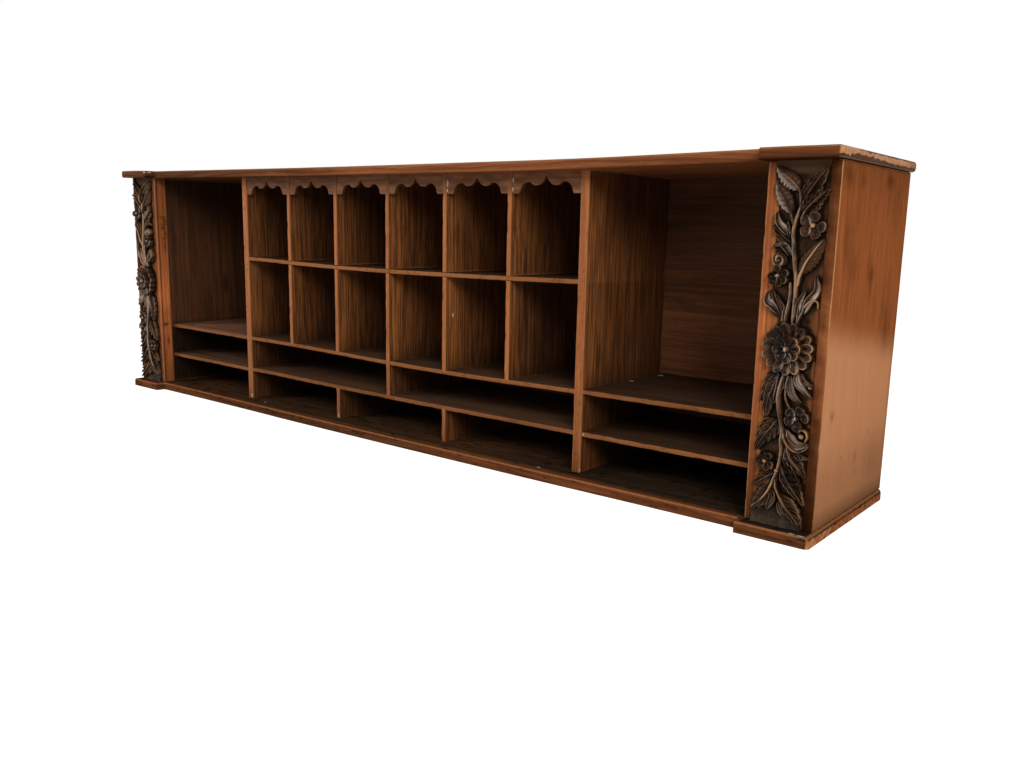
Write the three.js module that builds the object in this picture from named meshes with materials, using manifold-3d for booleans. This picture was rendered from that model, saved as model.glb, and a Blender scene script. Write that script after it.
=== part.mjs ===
// Pigeonhole mail sorter: a long open-fronted pine cabinet with a breakfront top and base,
// carved pilasters at both ends, two tall side bays and a centre bay of pigeonholes.
// Millimetres, +Z up, front towards -Y, origin under the middle of the base.
import * as THREE from 'three';
import { mergeVertices } from 'three/addons/utils/BufferGeometryUtils.js';
import Module from 'manifold-3d';

const wasm = await Module();
wasm.setup();

// Overall size
const overallLength = 2340;
const overallHeight = 700;
const overallDepth = 418;

// Top and base boards
const topThickness = 21;
const baseThickness = 22;
const topEndOverhang = 10;
const baseEndOverhang = 6;
const slabRounding = 7;
const slabRoundingSteps = 4;
const blockProjection = 32; // front of the end blocks, ahead of the pilaster faces
const breakStep = 26; // the middle front edge lies this far behind the end blocks
const blockInnerOverhang = 8; // the end blocks run this far past the stiles

// Ends
const endPanelThickness = 20;
const backRebateWidth = 10;
const carvedBoardWidth = 97;
const carvedBoardThickness = 16;
const groundRecess = 2; // carved ground, behind the pilaster face
const stileWidth = 15;
const stileDepth = 36;
const stileArrisRadius = 3;
const stileQuirkSetback = 7;
const stileQuirkWidth = 2;
const stileQuirkDepth = 1.2;
const stileArrisSteps = 3;
const sideWallRecess = 3; // side wall, behind the stile's inner face
const sideWallThickness = 14;

// Dividers and shelves
const centreBayWidth = 1191;
const mainDividerThickness = 22;
const holeDividerThickness = 12;
const shelfThickness = 10.5;
const shelfSetback = 42; // shelf fronts, behind the pilaster faces
const bottomSlotHeight = 81.5;
const upperSlotHeight = 84;
const lowerHoleHeight = 228.5;
const holeColumns = 6;
const upperSlotDividerColumns = [3];
const bottomSlotDividerColumns = [2, 4];

// Valances over the upper pigeonholes
const valanceThickness = 9;
const valanceSetback = 2;
const valanceLegHeight = 52;
const valanceLegWidth = 20;
const valanceFilletHeight = 4;
const valanceFilletStep = 2;
const valanceArchRise = 25; // these rises are above the foot of the leg
const valanceLobeRise = 17;
const valanceCuspRise = 33;
const valanceArchShare = 0.36; // of the way from the fillet to the cusp
const valanceLobeShare = 0.64;
const valanceCurveSteps = 6;

// Back boards
const backBoardThickness = 10;
const backSeamHeight = 359; // above the floor
const backLap = 8;

// Joints
const fitGap = 0.3;
const housing = 5; // shelf ends and main dividers
const thinHousing = 3; // thin dividers
const overcut = 1; // cutters run this far past the faces that they open

// Carving
const reliefSink = 4; // roots of the relief inside the board
const leafRelief = 7;
const leafBevel = 1.6;
const leafLobes = 3;
const leafSwellPower = 0.8; // below 1 the leaf is widest nearer its root
const leafCrownShare = 0.55; // crown of a lobe, along its own stretch of the leaf
const leafLobeShare = 1.25; // reach of a lobe, of the leaf's half width there
const leafNotchShare = 0.8; // depth kept at the notch between two lobes
const leafCurveSteps = 2;
const stemWidth = 8;
const stemRelief = 8;
const stemSides = 3;
const stemSteps = 4; // per stretch between two points
const flowerRelief = 12;
const flowerPetals = 5;
const flowerTurnAngle = 0.3;
const flowerPetalWidthShare = 1.05; // of the flower's radius, as the boss is
const flowerPetalRiseShare = 0.75; // of the flower's relief, as the bud's is
const flowerBossShare = 0.3;
const budRiseShare = 0.9;
const rosetteRadius = 46;
const rosetteRelief = 18;
const rosetteOuterPetals = 14;
const rosetteOuterWidthShare = 1.25; // petal width, of its part of the ring
const rosetteOuterRiseShare = 0.7;
const rosetteInnerPetals = 8;
const rosetteInnerReachShare = 0.55;
const rosetteInnerWidthShare = 1.15;
const rosetteInnerTurnAngle = 0.2;
const rosetteBossReachShare = 0.16;
const rosetteBossRiseShare = 1.15;
const ballSides = 7;
const ballRings = 4;
const weldDistance = 1e-4;

// Places that follow from the driving dimensions
const frontY = -overallDepth / 2;
const backY = overallDepth / 2;
const pilasterFrontY = frontY + blockProjection;
const middleFrontY = frontY + breakStep;
const shelfFrontY = pilasterFrontY + shelfSetback;
const backBoardFrontY = backY - backBoardThickness;
const insideBackY = backBoardFrontY - fitGap;
const halvingY = (shelfFrontY + insideBackY) / 2;

const topHalfLength = overallLength / 2;
const endOuterX = topHalfLength - topEndOverhang;
const baseHalfLength = endOuterX + baseEndOverhang;
const endInnerX = endOuterX - endPanelThickness;
const carvedInnerX = endInnerX - carvedBoardWidth;
const stileInnerX = carvedInnerX - stileWidth;
const sideWallX = stileInnerX + sideWallRecess;
const blockInnerX = stileInnerX - blockInnerOverhang;
const centreHalfWidth = centreBayWidth / 2;
const dividerOuterX = centreHalfWidth + mainDividerThickness;

const baseTopZ = baseThickness;
const topUnderZ = overallHeight - topThickness;
const uprightBottomZ = baseTopZ + fitGap;
const uprightTopZ = topUnderZ - fitGap;
const lowShelfZ = baseTopZ + bottomSlotHeight;
const midShelfZ = lowShelfZ + shelfThickness + upperSlotHeight;
const highShelfZ = midShelfZ + shelfThickness + lowerHoleHeight;
const holeWidth = (centreBayWidth - (holeColumns - 1) * holeDividerThickness) / holeColumns;
const holePitch = holeWidth + holeDividerThickness;

function columnX(column) {
  return -centreHalfWidth - holeDividerThickness / 2 + column * holePitch;
}

// Materials: stained pine, darker inside the bays, and the dark carving
function wood(color, roughness) {
  return new THREE.MeshStandardMaterial({ color, roughness, metalness: 0 });
}
const casePine = wood(0x7a4526, 0.45);
const endPine = wood(0x8a5230, 0.45);
const innerPine = wood(0x5a361f, 0.6);
const edgePine = wood(0x94592f, 0.5);
const valancePine = wood(0x6b4630, 0.55);
const backPine = wood(0x4a2c1a, 0.65);
const carvedWood = wood(0x33211a, 0.35);

const group = new THREE.Group();

function addPiece(name, geometry, material, place) {
  const mesh = new THREE.Mesh(geometry, material);
  mesh.name = name;
  mesh.position.set(...place);
  group.add(mesh);
}

// A closed geometry as a solid that can be joined and cut, and back again
function solidOf(geometry) {
  const bare = geometry.clone();
  bare.deleteAttribute('normal');
  bare.deleteAttribute('uv');
  const welded = mergeVertices(bare, weldDistance);
  const vertProperties = new Float32Array(welded.attributes.position.array);
  const triVerts = new Uint32Array(welded.index.array);
  return new wasm.Manifold(new wasm.Mesh({ numProp: 3, vertProperties, triVerts }));
}

function geometryOf(solid) {
  const { vertProperties, triVerts } = solid.getMesh();
  const geometry = new THREE.BufferGeometry();
  geometry.setAttribute('position', new THREE.BufferAttribute(vertProperties, 3));
  geometry.setIndex(new THREE.BufferAttribute(triVerts, 1));
  geometry.computeVertexNormals();
  return geometry;
}

// A block between two corners
function block(low, high) {
  const size = high.map((value, axis) => value - low[axis]);
  const middle = high.map((value, axis) => (value + low[axis]) / 2);
  return new THREE.BoxGeometry(...size).translate(...middle);
}

function cutAll(geometry, cuts) {
  let solid = solidOf(geometry);
  for (const cut of cuts) {
    solid = solid.subtract(solidOf(cut));
  }
  return geometryOf(solid);
}

// A board whose mesh stands at its lowest corner, with housings cut by blocks given in the
// sorter's own frame
function addBoard(name, material, low, high, cuts = []) {
  const toLocal = low.map((value) => -value);
  const board = block(low, high).translate(...toLocal);
  const localCuts = cuts.map((cut) => cut.translate(...toLocal));
  addPiece(name, cuts.length ? cutAll(board, localCuts) : board, material, low);
}

// Top and base: a plan outline with a forward step at each end, all front and end edges rounded.
// The blank is drawn past the back, and sawn off there with a square edge.
const backTrim = 2 * slabRounding;

function slab(halfLength, thickness) {
  const outline = new THREE.Shape();
  const pastBack = backY + backTrim;
  outline.moveTo(-halfLength, pastBack);
  outline.lineTo(-halfLength, frontY);
  outline.lineTo(-blockInnerX, frontY);
  outline.lineTo(-blockInnerX, middleFrontY);
  outline.lineTo(blockInnerX, middleFrontY);
  outline.lineTo(blockInnerX, frontY);
  outline.lineTo(halfLength, frontY);
  outline.lineTo(halfLength, pastBack);
  const geometry = new THREE.ExtrudeGeometry(outline, {
    depth: thickness - 2 * slabRounding,
    bevelThickness: slabRounding,
    bevelSize: slabRounding,
    bevelOffset: -slabRounding,
    bevelSegments: slabRoundingSteps,
  });
  return geometry.translate(0, 0, slabRounding);
}

function pastBackCut(halfLength, thickness) {
  const low = [-halfLength - overcut, backY, -overcut];
  return block(low, [halfLength + overcut, backY + backTrim + overcut, thickness + overcut]);
}

// Groove for the end of an upright board, from the shelf fronts to the back boards
function uprightGroove(centreX, thickness, lowZ, highZ) {
  const half = thickness / 2 + fitGap;
  return block([centreX - half, shelfFrontY - fitGap, lowZ], [centreX + half, backBoardFrontY, highZ]);
}

const mainDividerX = centreHalfWidth + mainDividerThickness / 2;
const holeDividerXs = [];
for (let column = 1; column < holeColumns; column += 1) {
  holeDividerXs.push(columnX(column));
}

const topGrooves = [-mainDividerX, mainDividerX].map((x) =>
  uprightGroove(x, mainDividerThickness, -overcut, housing + fitGap));
for (const x of holeDividerXs) {
  topGrooves.push(uprightGroove(x, holeDividerThickness, -overcut, thinHousing + fitGap));
}
topGrooves.push(pastBackCut(topHalfLength, topThickness));
addPiece('top_board', cutAll(slab(topHalfLength, topThickness), topGrooves), casePine, [0, 0, topUnderZ]);

const aboveBase = baseThickness + overcut;
const baseGrooves = [-mainDividerX, mainDividerX].map((x) =>
  uprightGroove(x, mainDividerThickness, baseThickness - housing - fitGap, aboveBase));
for (const column of bottomSlotDividerColumns) {
  const grooveFloor = baseThickness - thinHousing - fitGap;
  baseGrooves.push(uprightGroove(columnX(column), holeDividerThickness, grooveFloor, aboveBase));
}
baseGrooves.push(pastBackCut(baseHalfLength, baseThickness));
addPiece('base_board', cutAll(slab(baseHalfLength, baseThickness), baseGrooves), casePine, [0, 0, 0]);

// Groove for the end of a shelf, cut into an upright face at faceX, open to the front
function shelfGroove(faceX, intoX, shelfZ) {
  const reach = faceX + intoX * (housing + fitGap);
  const outside = faceX - intoX * overcut;
  const low = [Math.min(reach, outside), shelfFrontY - stileDepth, shelfZ - fitGap];
  const high = [Math.max(reach, outside), backY, shelfZ + shelfThickness + fitGap];
  return block(low, high);
}

// Stile section: a square strip with a rounded, quirked inner front arris
function stileSection() {
  const section = new THREE.Shape();
  const quirkEnd = stileQuirkSetback + stileQuirkWidth;
  const round = stileArrisRadius;
  section.moveTo(stileWidth, 0);
  section.lineTo(stileWidth, stileDepth);
  section.lineTo(0, stileDepth);
  section.lineTo(0, quirkEnd);
  section.lineTo(stileQuirkDepth, (stileQuirkSetback + quirkEnd) / 2);
  section.lineTo(0, stileQuirkSetback);
  section.lineTo(0, round);
  section.absarc(round, round, round, Math.PI, 1.5 * Math.PI, false);
  return section;
}

function stileGeometry(side) {
  const height = uprightTopZ - uprightBottomZ;
  const geometry = new THREE.ExtrudeGeometry(stileSection(), {
    depth: height,
    bevelEnabled: false,
    curveSegments: stileArrisSteps,
  });
  // The left stile is the right one turned upside down, which swaps its sides
  return side > 0 ? geometry : geometry.rotateY(Math.PI).translate(0, 0, height);
}

// Leaf outline on both sides of a curved midrib, with rounded lobes from the root to the tip
function leafOutline(midrib, width) {
  const swell = (share) => (width / 2) * Math.sin(Math.PI * Math.pow(share, leafSwellPower));
  const edge = (share, offset) => {
    const point = midrib.getPoint(share);
    const way = midrib.getTangent(share);
    return [point.x + offset * way.y, point.y - offset * way.x];
  };
  const outline = new THREE.Shape();
  outline.moveTo(...edge(0, 0));
  for (let lobe = 0; lobe < leafLobes; lobe += 1) {
    const crown = (lobe + leafCrownShare) / leafLobes;
    const end = (lobe + 1) / leafLobes;
    const notch = lobe === leafLobes - 1 ? 0 : leafNotchShare * swell(end);
    outline.quadraticCurveTo(...edge(crown, leafLobeShare * swell(crown)), ...edge(end, notch));
  }
  for (let lobe = leafLobes - 1; lobe >= 0; lobe -= 1) {
    const crown = (lobe + leafCrownShare) / leafLobes;
    const start = lobe / leafLobes;
    const notch = leafNotchShare * swell(start);
    outline.quadraticCurveTo(...edge(crown, -leafLobeShare * swell(crown)), ...edge(start, -notch));
  }
  return outline;
}

function leafSolid(root, bend, tip, width) {
  const [from, through, to] = [root, bend, tip].map((spot) => new THREE.Vector2(...spot));
  const midrib = new THREE.QuadraticBezierCurve(from, through, to);
  const geometry = new THREE.ExtrudeGeometry(leafOutline(midrib, width), {
    depth: leafRelief + reliefSink - 2 * leafBevel,
    bevelThickness: leafBevel,
    bevelSize: leafBevel,
    bevelOffset: -leafBevel,
    bevelSegments: 1,
    curveSegments: leafCurveSteps,
  });
  geometry.rotateX(Math.PI / 2);
  return solidOf(geometry.translate(0, reliefSink - leafBevel, 0));
}

function stemSolid(points) {
  const path = new THREE.CatmullRomCurve3(points.map(([x, z]) => new THREE.Vector3(x, 0, z)));
  const section = new THREE.Shape();
  section.absellipse(0, 0, stemRelief, stemWidth / 2, 0, 2 * Math.PI, false, 0);
  const geometry = new THREE.ExtrudeGeometry(section, {
    steps: stemSteps * (points.length - 1),
    curveSegments: stemSides,
    extrudePath: path,
  });
  return solidOf(geometry);
}

// A rounded petal or bead: a flattened ball, root at the flower's middle
function ball(size, place) {
  const geometry = new THREE.SphereGeometry(1, ballSides, ballRings);
  return geometry.scale(...size).translate(...place);
}

// One ring of petals; rise is how far the ring stands off the ground
function petalRing(centre, count, radius, petalWidth, rise, turn) {
  const petals = [];
  for (let petal = 0; petal < count; petal += 1) {
    const geometry = ball([petalWidth / 2, rise, radius / 2], [0, 0, radius / 2]);
    geometry.rotateY(turn + (2 * Math.PI * petal) / count);
    petals.push(solidOf(geometry.translate(centre[0], 0, centre[1])));
  }
  return petals;
}

function flowerSolids(centre, radius) {
  const petalWidth = flowerPetalWidthShare * radius;
  const petalRise = flowerPetalRiseShare * flowerRelief;
  const petals = petalRing(centre, flowerPetals, radius, petalWidth, petalRise, flowerTurnAngle);
  const bossRadius = flowerBossShare * radius;
  const boss = ball([bossRadius, flowerRelief, bossRadius], [centre[0], 0, centre[1]]);
  return [...petals, solidOf(boss)];
}

function budSolid(centre, radius) {
  return solidOf(ball([radius, budRiseShare * flowerRelief, radius], [centre[0], 0, centre[1]]));
}

function rosetteSolids(centre) {
  const petalWidth = (reach, count, overlap) => (overlap * 2 * Math.PI * reach) / count;
  const outerWidth = petalWidth(rosetteRadius, rosetteOuterPetals, rosetteOuterWidthShare);
  const outerRise = rosetteOuterRiseShare * rosetteRelief;
  const innerRadius = rosetteInnerReachShare * rosetteRadius;
  const innerWidth = petalWidth(innerRadius, rosetteInnerPetals, rosetteInnerWidthShare);
  const bossRadius = rosetteBossReachShare * rosetteRadius;
  const bossRise = rosetteBossRiseShare * rosetteRelief;
  const boss = ball([bossRadius, bossRise, bossRadius], [centre[0], 0, centre[1]]);
  return [
    ...petalRing(centre, rosetteOuterPetals, rosetteRadius, outerWidth, outerRise, 0),
    ...petalRing(centre, rosetteInnerPetals, innerRadius, innerWidth, rosetteRelief, rosetteInnerTurnAngle),
    solidOf(boss),
  ];
}

// Layout of the right pilaster: across from the board's middle, and up from its foot, on a
// board of the drawn width and height. The layout stretches with the board.
const drawnWidth = 97;
const drawnHeight = 656.4;
const rosettePlace = [0, 330];
const flowerPlaces = [[28, 546, 21], [-28, 458, 19], [26, 207, 21], [-27, 120, 17]];
const budPlace = [-28, 486, 12];
const stemLines = [
  [[2, 578], [-6, 545], [-5, 516], [1, 473], [5, 440], [4, 370]],
  [[7, 441], [15, 468], [28, 494], [45, 520]],
  [[-5, 446], [-4, 418], [-10, 370]],
  [[-5, 290], [-11, 244], [-1, 193], [1, 126], [-3, 106]],
  [[-3, 106], [-13, 76], [-30, 46]],
  [[-5, 92], [1, 64], [20, 37], [42, 16]],
  [[2, 290], [1, 258], [16, 220]],
];
// Root, bend and tip of each midrib, and the leaf's width
const leafLines = [
  [[3, 580], [-2, 612], [-43, 644], 32],
  [[-9, 550], [-14, 584], [-43, 616], 27],
  [[5, 578], [14, 604], [45, 645], 24],
  [[8, 563], [24, 588], [47, 606], 21],
  [[-12, 523], [-30, 540], [-38, 570], 13],
  [[-10, 512], [-26, 520], [-44, 545], 14],
  [[-9, 494], [-20, 516], [-45, 508], 13],
  [[9, 458], [22, 486], [47, 526], 30],
  [[24, 398], [36, 430], [39, 462], 16],
  [[12, 376], [30, 414], [46, 410], 12],
  [[-16, 380], [-36, 404], [-45, 428], 14],
  [[-12, 384], [-22, 412], [-36, 434], 12],
  [[-13, 284], [-26, 250], [-33, 204], 26],
  [[8, 284], [10, 254], [30, 236], 14],
  [[19, 292], [26, 266], [47, 246], 15],
  [[-11, 196], [-26, 176], [-45, 140], 26],
  [[4, 180], [16, 154], [47, 160], 20],
  [[12, 150], [22, 126], [46, 102], 18],
  [[4, 114], [20, 88], [46, 54], 24],
  [[5, 58], [24, 34], [46, 8], 22],
  [[-8, 94], [-24, 88], [-45, 78], 20],
  [[-13, 72], [-24, 56], [-45, 28], 24],
  [[-11, 62], [-12, 44], [-22, 28], 12],
];

// Carved pilaster: a board with its relief standing on the ground face, all in one piece
function carvedPilaster(side) {
  const width = carvedBoardWidth - 2 * fitGap;
  const height = uprightTopZ - uprightBottomZ;
  const wide = width / drawnWidth;
  const high = height / drawnHeight;
  const spot = ([x, z]) => [side * x * wide, z * high];
  const relief = rosetteSolids(spot(rosettePlace));
  for (const [x, z, radius] of flowerPlaces) {
    relief.push(...flowerSolids(spot([x, z]), radius * wide));
  }
  const [budX, budZ, budRadius] = budPlace;
  relief.push(budSolid(spot([budX, budZ]), budRadius * wide));
  for (const line of stemLines) {
    relief.push(stemSolid(line.map(spot)));
  }
  for (const [root, bend, tip, leafWidth] of leafLines) {
    relief.push(leafSolid(spot(root), spot(bend), spot(tip), leafWidth * wide));
  }
  const reach = 2 * rosetteRelief;
  const field = solidOf(block([-width / 2, -reach, 0], [width / 2, reliefSink, height]));
  let carving = relief[0];
  for (const solid of relief.slice(1)) {
    carving = carving.add(solid);
  }
  const board = solidOf(block([-width / 2, 0, 0], [width / 2, carvedBoardThickness, height]));
  return geometryOf(board.add(carving.intersect(field)));
}

// The two ends, from outside to inside: end panel, carved pilaster, stile, side wall
for (const [side, word] of [[-1, 'left'], [1, 'right']]) {
  const across = (a, b) => [Math.min(side * a, side * b), Math.max(side * a, side * b)];

  const [endLow, endHigh] = across(endInnerX, endOuterX);
  const [rebateLow, rebateHigh] = across(endInnerX - overcut, endInnerX + backRebateWidth);
  const rebate = block([rebateLow, backBoardFrontY, baseTopZ - overcut],
    [rebateHigh, backY + overcut, topUnderZ + overcut]);
  addBoard(`end_panel_${word}`, endPine,
    [endLow, pilasterFrontY, uprightBottomZ], [endHigh, backY, uprightTopZ], [rebate]);

  const carvedX = side * (carvedInnerX + carvedBoardWidth / 2);
  addPiece(`carved_pilaster_${word}`, carvedPilaster(side), carvedWood,
    [carvedX, pilasterFrontY + groundRecess, uprightBottomZ]);

  // The left stile is turned over, so its mesh stands at its inner face too
  const stile = stileGeometry(side);
  addPiece(`stile_${word}`, stile, edgePine, [side * stileInnerX, pilasterFrontY, uprightBottomZ]);

  const [wallLow, wallHigh] = across(sideWallX, sideWallX + sideWallThickness);
  const wallGrooves = [lowShelfZ, midShelfZ].map((z) => shelfGroove(side * sideWallX, side, z));
  addBoard(`side_wall_${word}`, innerPine,
    [wallLow, pilasterFrontY + stileDepth + fitGap, uprightBottomZ],
    [wallHigh, insideBackY, uprightTopZ], wallGrooves);

  const [dividerLow, dividerHigh] = across(centreHalfWidth, dividerOuterX);
  const dividerGrooves = [lowShelfZ, midShelfZ].map((z) => shelfGroove(side * dividerOuterX, -side, z));
  for (const z of [lowShelfZ, midShelfZ, highShelfZ]) {
    dividerGrooves.push(shelfGroove(side * centreHalfWidth, side, z));
  }
  addBoard(`main_divider_${word}`, edgePine,
    [dividerLow, shelfFrontY, baseTopZ - housing],
    [dividerHigh, insideBackY, topUnderZ + housing], dividerGrooves);

  for (const [level, z] of [['lower', lowShelfZ], ['upper', midShelfZ]]) {
    const [shelfLow, shelfHigh] = across(dividerOuterX - housing, sideWallX + housing);
    addBoard(`${word}_bay_shelf_${level}`, innerPine,
      [shelfLow, shelfFrontY, z], [shelfHigh, insideBackY, z + shelfThickness]);
  }
}

// Centre shelves, grooved for the dividers that stand on them and hang under them
const grooveDepth = thinHousing + fitGap;

function grooveDownFrom(column, faceZ) {
  return uprightGroove(columnX(column), holeDividerThickness, faceZ - grooveDepth, faceZ + overcut);
}

function grooveUpFrom(column, faceZ) {
  return uprightGroove(columnX(column), holeDividerThickness, faceZ - overcut, faceZ + grooveDepth);
}

function addCentreShelf(name, z, cuts) {
  const half = centreHalfWidth + housing;
  addBoard(name, innerPine, [-half, shelfFrontY, z], [half, insideBackY, z + shelfThickness], cuts);
}

const everyColumn = holeDividerXs.map((x, index) => index + 1);
const lowShelfTopZ = lowShelfZ + shelfThickness;
const midShelfTopZ = midShelfZ + shelfThickness;
addCentreShelf('centre_shelf_lower', lowShelfZ, [
  ...upperSlotDividerColumns.map((c) => grooveDownFrom(c, lowShelfTopZ)),
  ...bottomSlotDividerColumns.map((c) => grooveUpFrom(c, lowShelfZ)),
]);
addCentreShelf('centre_shelf_middle', midShelfZ, [
  ...everyColumn.map((c) => grooveDownFrom(c, midShelfTopZ)),
  ...upperSlotDividerColumns.map((c) => grooveUpFrom(c, midShelfZ)),
]);

// The upper shelf and the pigeonhole dividers are halved over each other: the shelf is slotted
// from the back, the dividers from the front
const slotHalf = holeDividerThickness / 2 + fitGap;
addCentreShelf('centre_shelf_upper', highShelfZ, holeDividerXs.map((x) =>
  block([x - slotHalf, halvingY, highShelfZ - overcut],
    [x + slotHalf, backY, highShelfZ + shelfThickness + overcut])));

function addThinDivider(name, x, lowZ, highZ, cuts) {
  const half = holeDividerThickness / 2;
  addBoard(name, edgePine, [x - half, shelfFrontY, lowZ], [x + half, insideBackY, highZ], cuts);
}

for (const column of everyColumn) {
  const x = columnX(column);
  const notch = block([x - holeDividerThickness, shelfFrontY - overcut, highShelfZ - fitGap],
    [x + holeDividerThickness, halvingY + fitGap, highShelfZ + shelfThickness + fitGap]);
  addThinDivider(`pigeonhole_divider_${column}`, x, midShelfTopZ - thinHousing,
    topUnderZ + thinHousing, [notch]);
}
for (const column of upperSlotDividerColumns) {
  addThinDivider(`upper_slot_divider_${column}`, columnX(column),
    lowShelfTopZ - thinHousing, midShelfZ + thinHousing);
}
for (const column of bottomSlotDividerColumns) {
  addThinDivider(`bottom_slot_divider_${column}`, columnX(column),
    baseTopZ - thinHousing, lowShelfZ + thinHousing);
}

// Valance profile, hung from the origin: square leg, fillet, hollow arch, lobe and central cusp
function valanceProfile() {
  const half = holeWidth / 2 - fitGap;
  const foot = -valanceLegHeight;
  const legX = half - valanceLegWidth;
  const filletX = legX - valanceFilletStep;
  const filletZ = foot + valanceFilletHeight;
  const archX = filletX * (1 - valanceArchShare);
  const archZ = foot + valanceArchRise;
  const lobeX = filletX * (1 - valanceLobeShare);
  const lobeZ = foot + valanceLobeRise;
  const cuspZ = foot + valanceCuspRise;
  const bulge = (archX - lobeX) / 2;
  const profile = new THREE.Shape();
  profile.moveTo(half, 0);
  profile.lineTo(-half, 0);
  profile.lineTo(-half, foot);
  profile.lineTo(-legX, foot);
  profile.lineTo(-legX, filletZ);
  profile.lineTo(-filletX, filletZ);
  profile.quadraticCurveTo(-filletX, archZ, -archX, archZ);
  profile.bezierCurveTo(-archX + bulge, archZ, -lobeX - bulge, lobeZ, -lobeX, lobeZ);
  profile.quadraticCurveTo(-lobeX / 2, lobeZ, 0, cuspZ);
  profile.quadraticCurveTo(lobeX / 2, lobeZ, lobeX, lobeZ);
  profile.bezierCurveTo(lobeX + bulge, lobeZ, archX - bulge, archZ, archX, archZ);
  profile.quadraticCurveTo(filletX, archZ, filletX, filletZ);
  profile.lineTo(legX, filletZ);
  profile.lineTo(legX, foot);
  profile.lineTo(half, foot);
  return profile;
}

for (let column = 1; column <= holeColumns; column += 1) {
  const valance = new THREE.ExtrudeGeometry(valanceProfile(), {
    depth: valanceThickness,
    bevelEnabled: false,
    curveSegments: valanceCurveSteps,
  });
  valance.rotateX(Math.PI / 2);
  const middleX = (columnX(column - 1) + columnX(column)) / 2;
  const backOfValanceY = shelfFrontY + valanceSetback + valanceThickness;
  addPiece(`valance_${column}`, valance, valancePine, [middleX, backOfValanceY, uprightTopZ]);
}

// Two wide back boards, lapped along their seam, lodged in the rebates of the end panels
const backHalf = endInnerX + backRebateWidth - fitGap;
const lapY = backBoardFrontY + backBoardThickness / 2;
const lapTopZ = backSeamHeight + backLap;
addBoard('back_board_lower', backPine,
  [-backHalf, backBoardFrontY + fitGap, uprightBottomZ], [backHalf, backY, lapTopZ],
  [block([-endOuterX, backBoardFrontY, backSeamHeight], [endOuterX, lapY, lapTopZ + overcut])]);
addBoard('back_board_upper', backPine,
  [-backHalf, backBoardFrontY + fitGap, backSeamHeight + fitGap], [backHalf, backY, uprightTopZ],
  [block([-endOuterX, lapY - fitGap, backSeamHeight], [endOuterX, backY + overcut, lapTopZ + fitGap])]);

export default group;
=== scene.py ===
# Looks of the pigeonhole mail sorter, built around its packed boards.
# Metres, +Z up, front towards -Y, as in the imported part.
import math

import bpy
import numpy as np
from mathutils import Matrix, Vector


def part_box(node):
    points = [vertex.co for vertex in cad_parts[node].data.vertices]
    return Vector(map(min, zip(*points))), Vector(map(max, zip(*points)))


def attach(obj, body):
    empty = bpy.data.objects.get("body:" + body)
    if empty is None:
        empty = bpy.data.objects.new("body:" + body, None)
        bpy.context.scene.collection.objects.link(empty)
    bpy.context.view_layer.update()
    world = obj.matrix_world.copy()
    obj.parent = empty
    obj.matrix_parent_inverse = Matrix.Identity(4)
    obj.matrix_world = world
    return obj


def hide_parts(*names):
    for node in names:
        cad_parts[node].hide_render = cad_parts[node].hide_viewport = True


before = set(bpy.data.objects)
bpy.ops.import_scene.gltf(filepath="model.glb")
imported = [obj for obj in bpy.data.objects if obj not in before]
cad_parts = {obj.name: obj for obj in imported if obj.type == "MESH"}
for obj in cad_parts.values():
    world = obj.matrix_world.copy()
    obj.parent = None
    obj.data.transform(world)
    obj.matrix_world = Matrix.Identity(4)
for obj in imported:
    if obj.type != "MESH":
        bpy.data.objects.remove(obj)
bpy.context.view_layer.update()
scene = bpy.context.scene
scene.view_settings.view_transform = "Standard"
mm = 0.001


# Node helpers

def addNode(tree, kind, inputs=None, **settings):
    made = tree.nodes.new("ShaderNode" + kind)
    for key, value in settings.items():
        setattr(made, key, value)
    for key, value in (inputs or {}).items():
        if isinstance(value, bpy.types.NodeSocket):
            tree.links.new(value, made.inputs[key])
        else:
            made.inputs[key].default_value = value
    return made


def calc(tree, operation, first, second=0.0):
    return addNode(tree, "Math", {0: first, 1: second}, operation=operation).outputs[0]


def plus(tree, first, second):
    return calc(tree, "ADD", first, second)


def less(tree, first, second):
    return calc(tree, "SUBTRACT", first, second)


def times(tree, first, second):
    return calc(tree, "MULTIPLY", first, second)


def rise(tree, value, low, high, start=0.0, end=1.0):
    # smooth climb from start to end while value goes from low to high
    ends = {0: value, 1: low, 2: high, 3: start, 4: end}
    return addNode(tree, "MapRange", ends, interpolation_type="SMOOTHSTEP").outputs[0]


def blend(tree, share, under, over, way="MIX"):
    made = addNode(tree, "Mix", {0: share, 6: under, 7: over}, data_type="RGBA", blend_type=way)
    return made.outputs[2]


def stretch(tree, vector, scale):
    made = addNode(tree, "VectorMath", {0: vector, 1: scale}, operation="MULTIPLY")
    return made.outputs[0]


def cloud(tree, vector, scale, detail=2.0, roughness=0.5):
    ends = {"Vector": vector, "Scale": scale, "Detail": detail, "Roughness": roughness}
    return addNode(tree, "TexNoise", ends).outputs[0]


def tint(code):
    # a screen colour such as 8a5230 as linear light
    parts = [int(code[i:i + 2], 16) / 255 for i in (0, 2, 4)]
    linear = [p / 12.92 if p < 0.04045 else ((p + 0.055) / 1.055) ** 2.4 for p in parts]
    return (*linear, 1.0)


def stain(tree, colour, share, code):
    # a share of a screen colour laid over a colour
    return blend(tree, share, colour, tint(code))


def darken(tree, colour, levels):
    # each channel of a colour times its own level
    level = addNode(tree, "CombineColor", dict(enumerate(levels))).outputs[0]
    return blend(tree, 1.0, colour, level, "MULTIPLY")


def marked(tree, name, kind="Fac"):
    # a mark that a mesh keeps on its points
    return addNode(tree, "Attribute", attribute_name=name).outputs[kind]


def newMaterial(name):
    material = bpy.data.materials.new(name)
    material.use_nodes = True
    material.node_tree.nodes.clear()
    return material, material.node_tree


# Stained pine: streaks and growth rings follow each board's own grain, arrises are rubbed pale.
# Painted shade, with some grime, darkens a board from its front edge towards the back.

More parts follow.
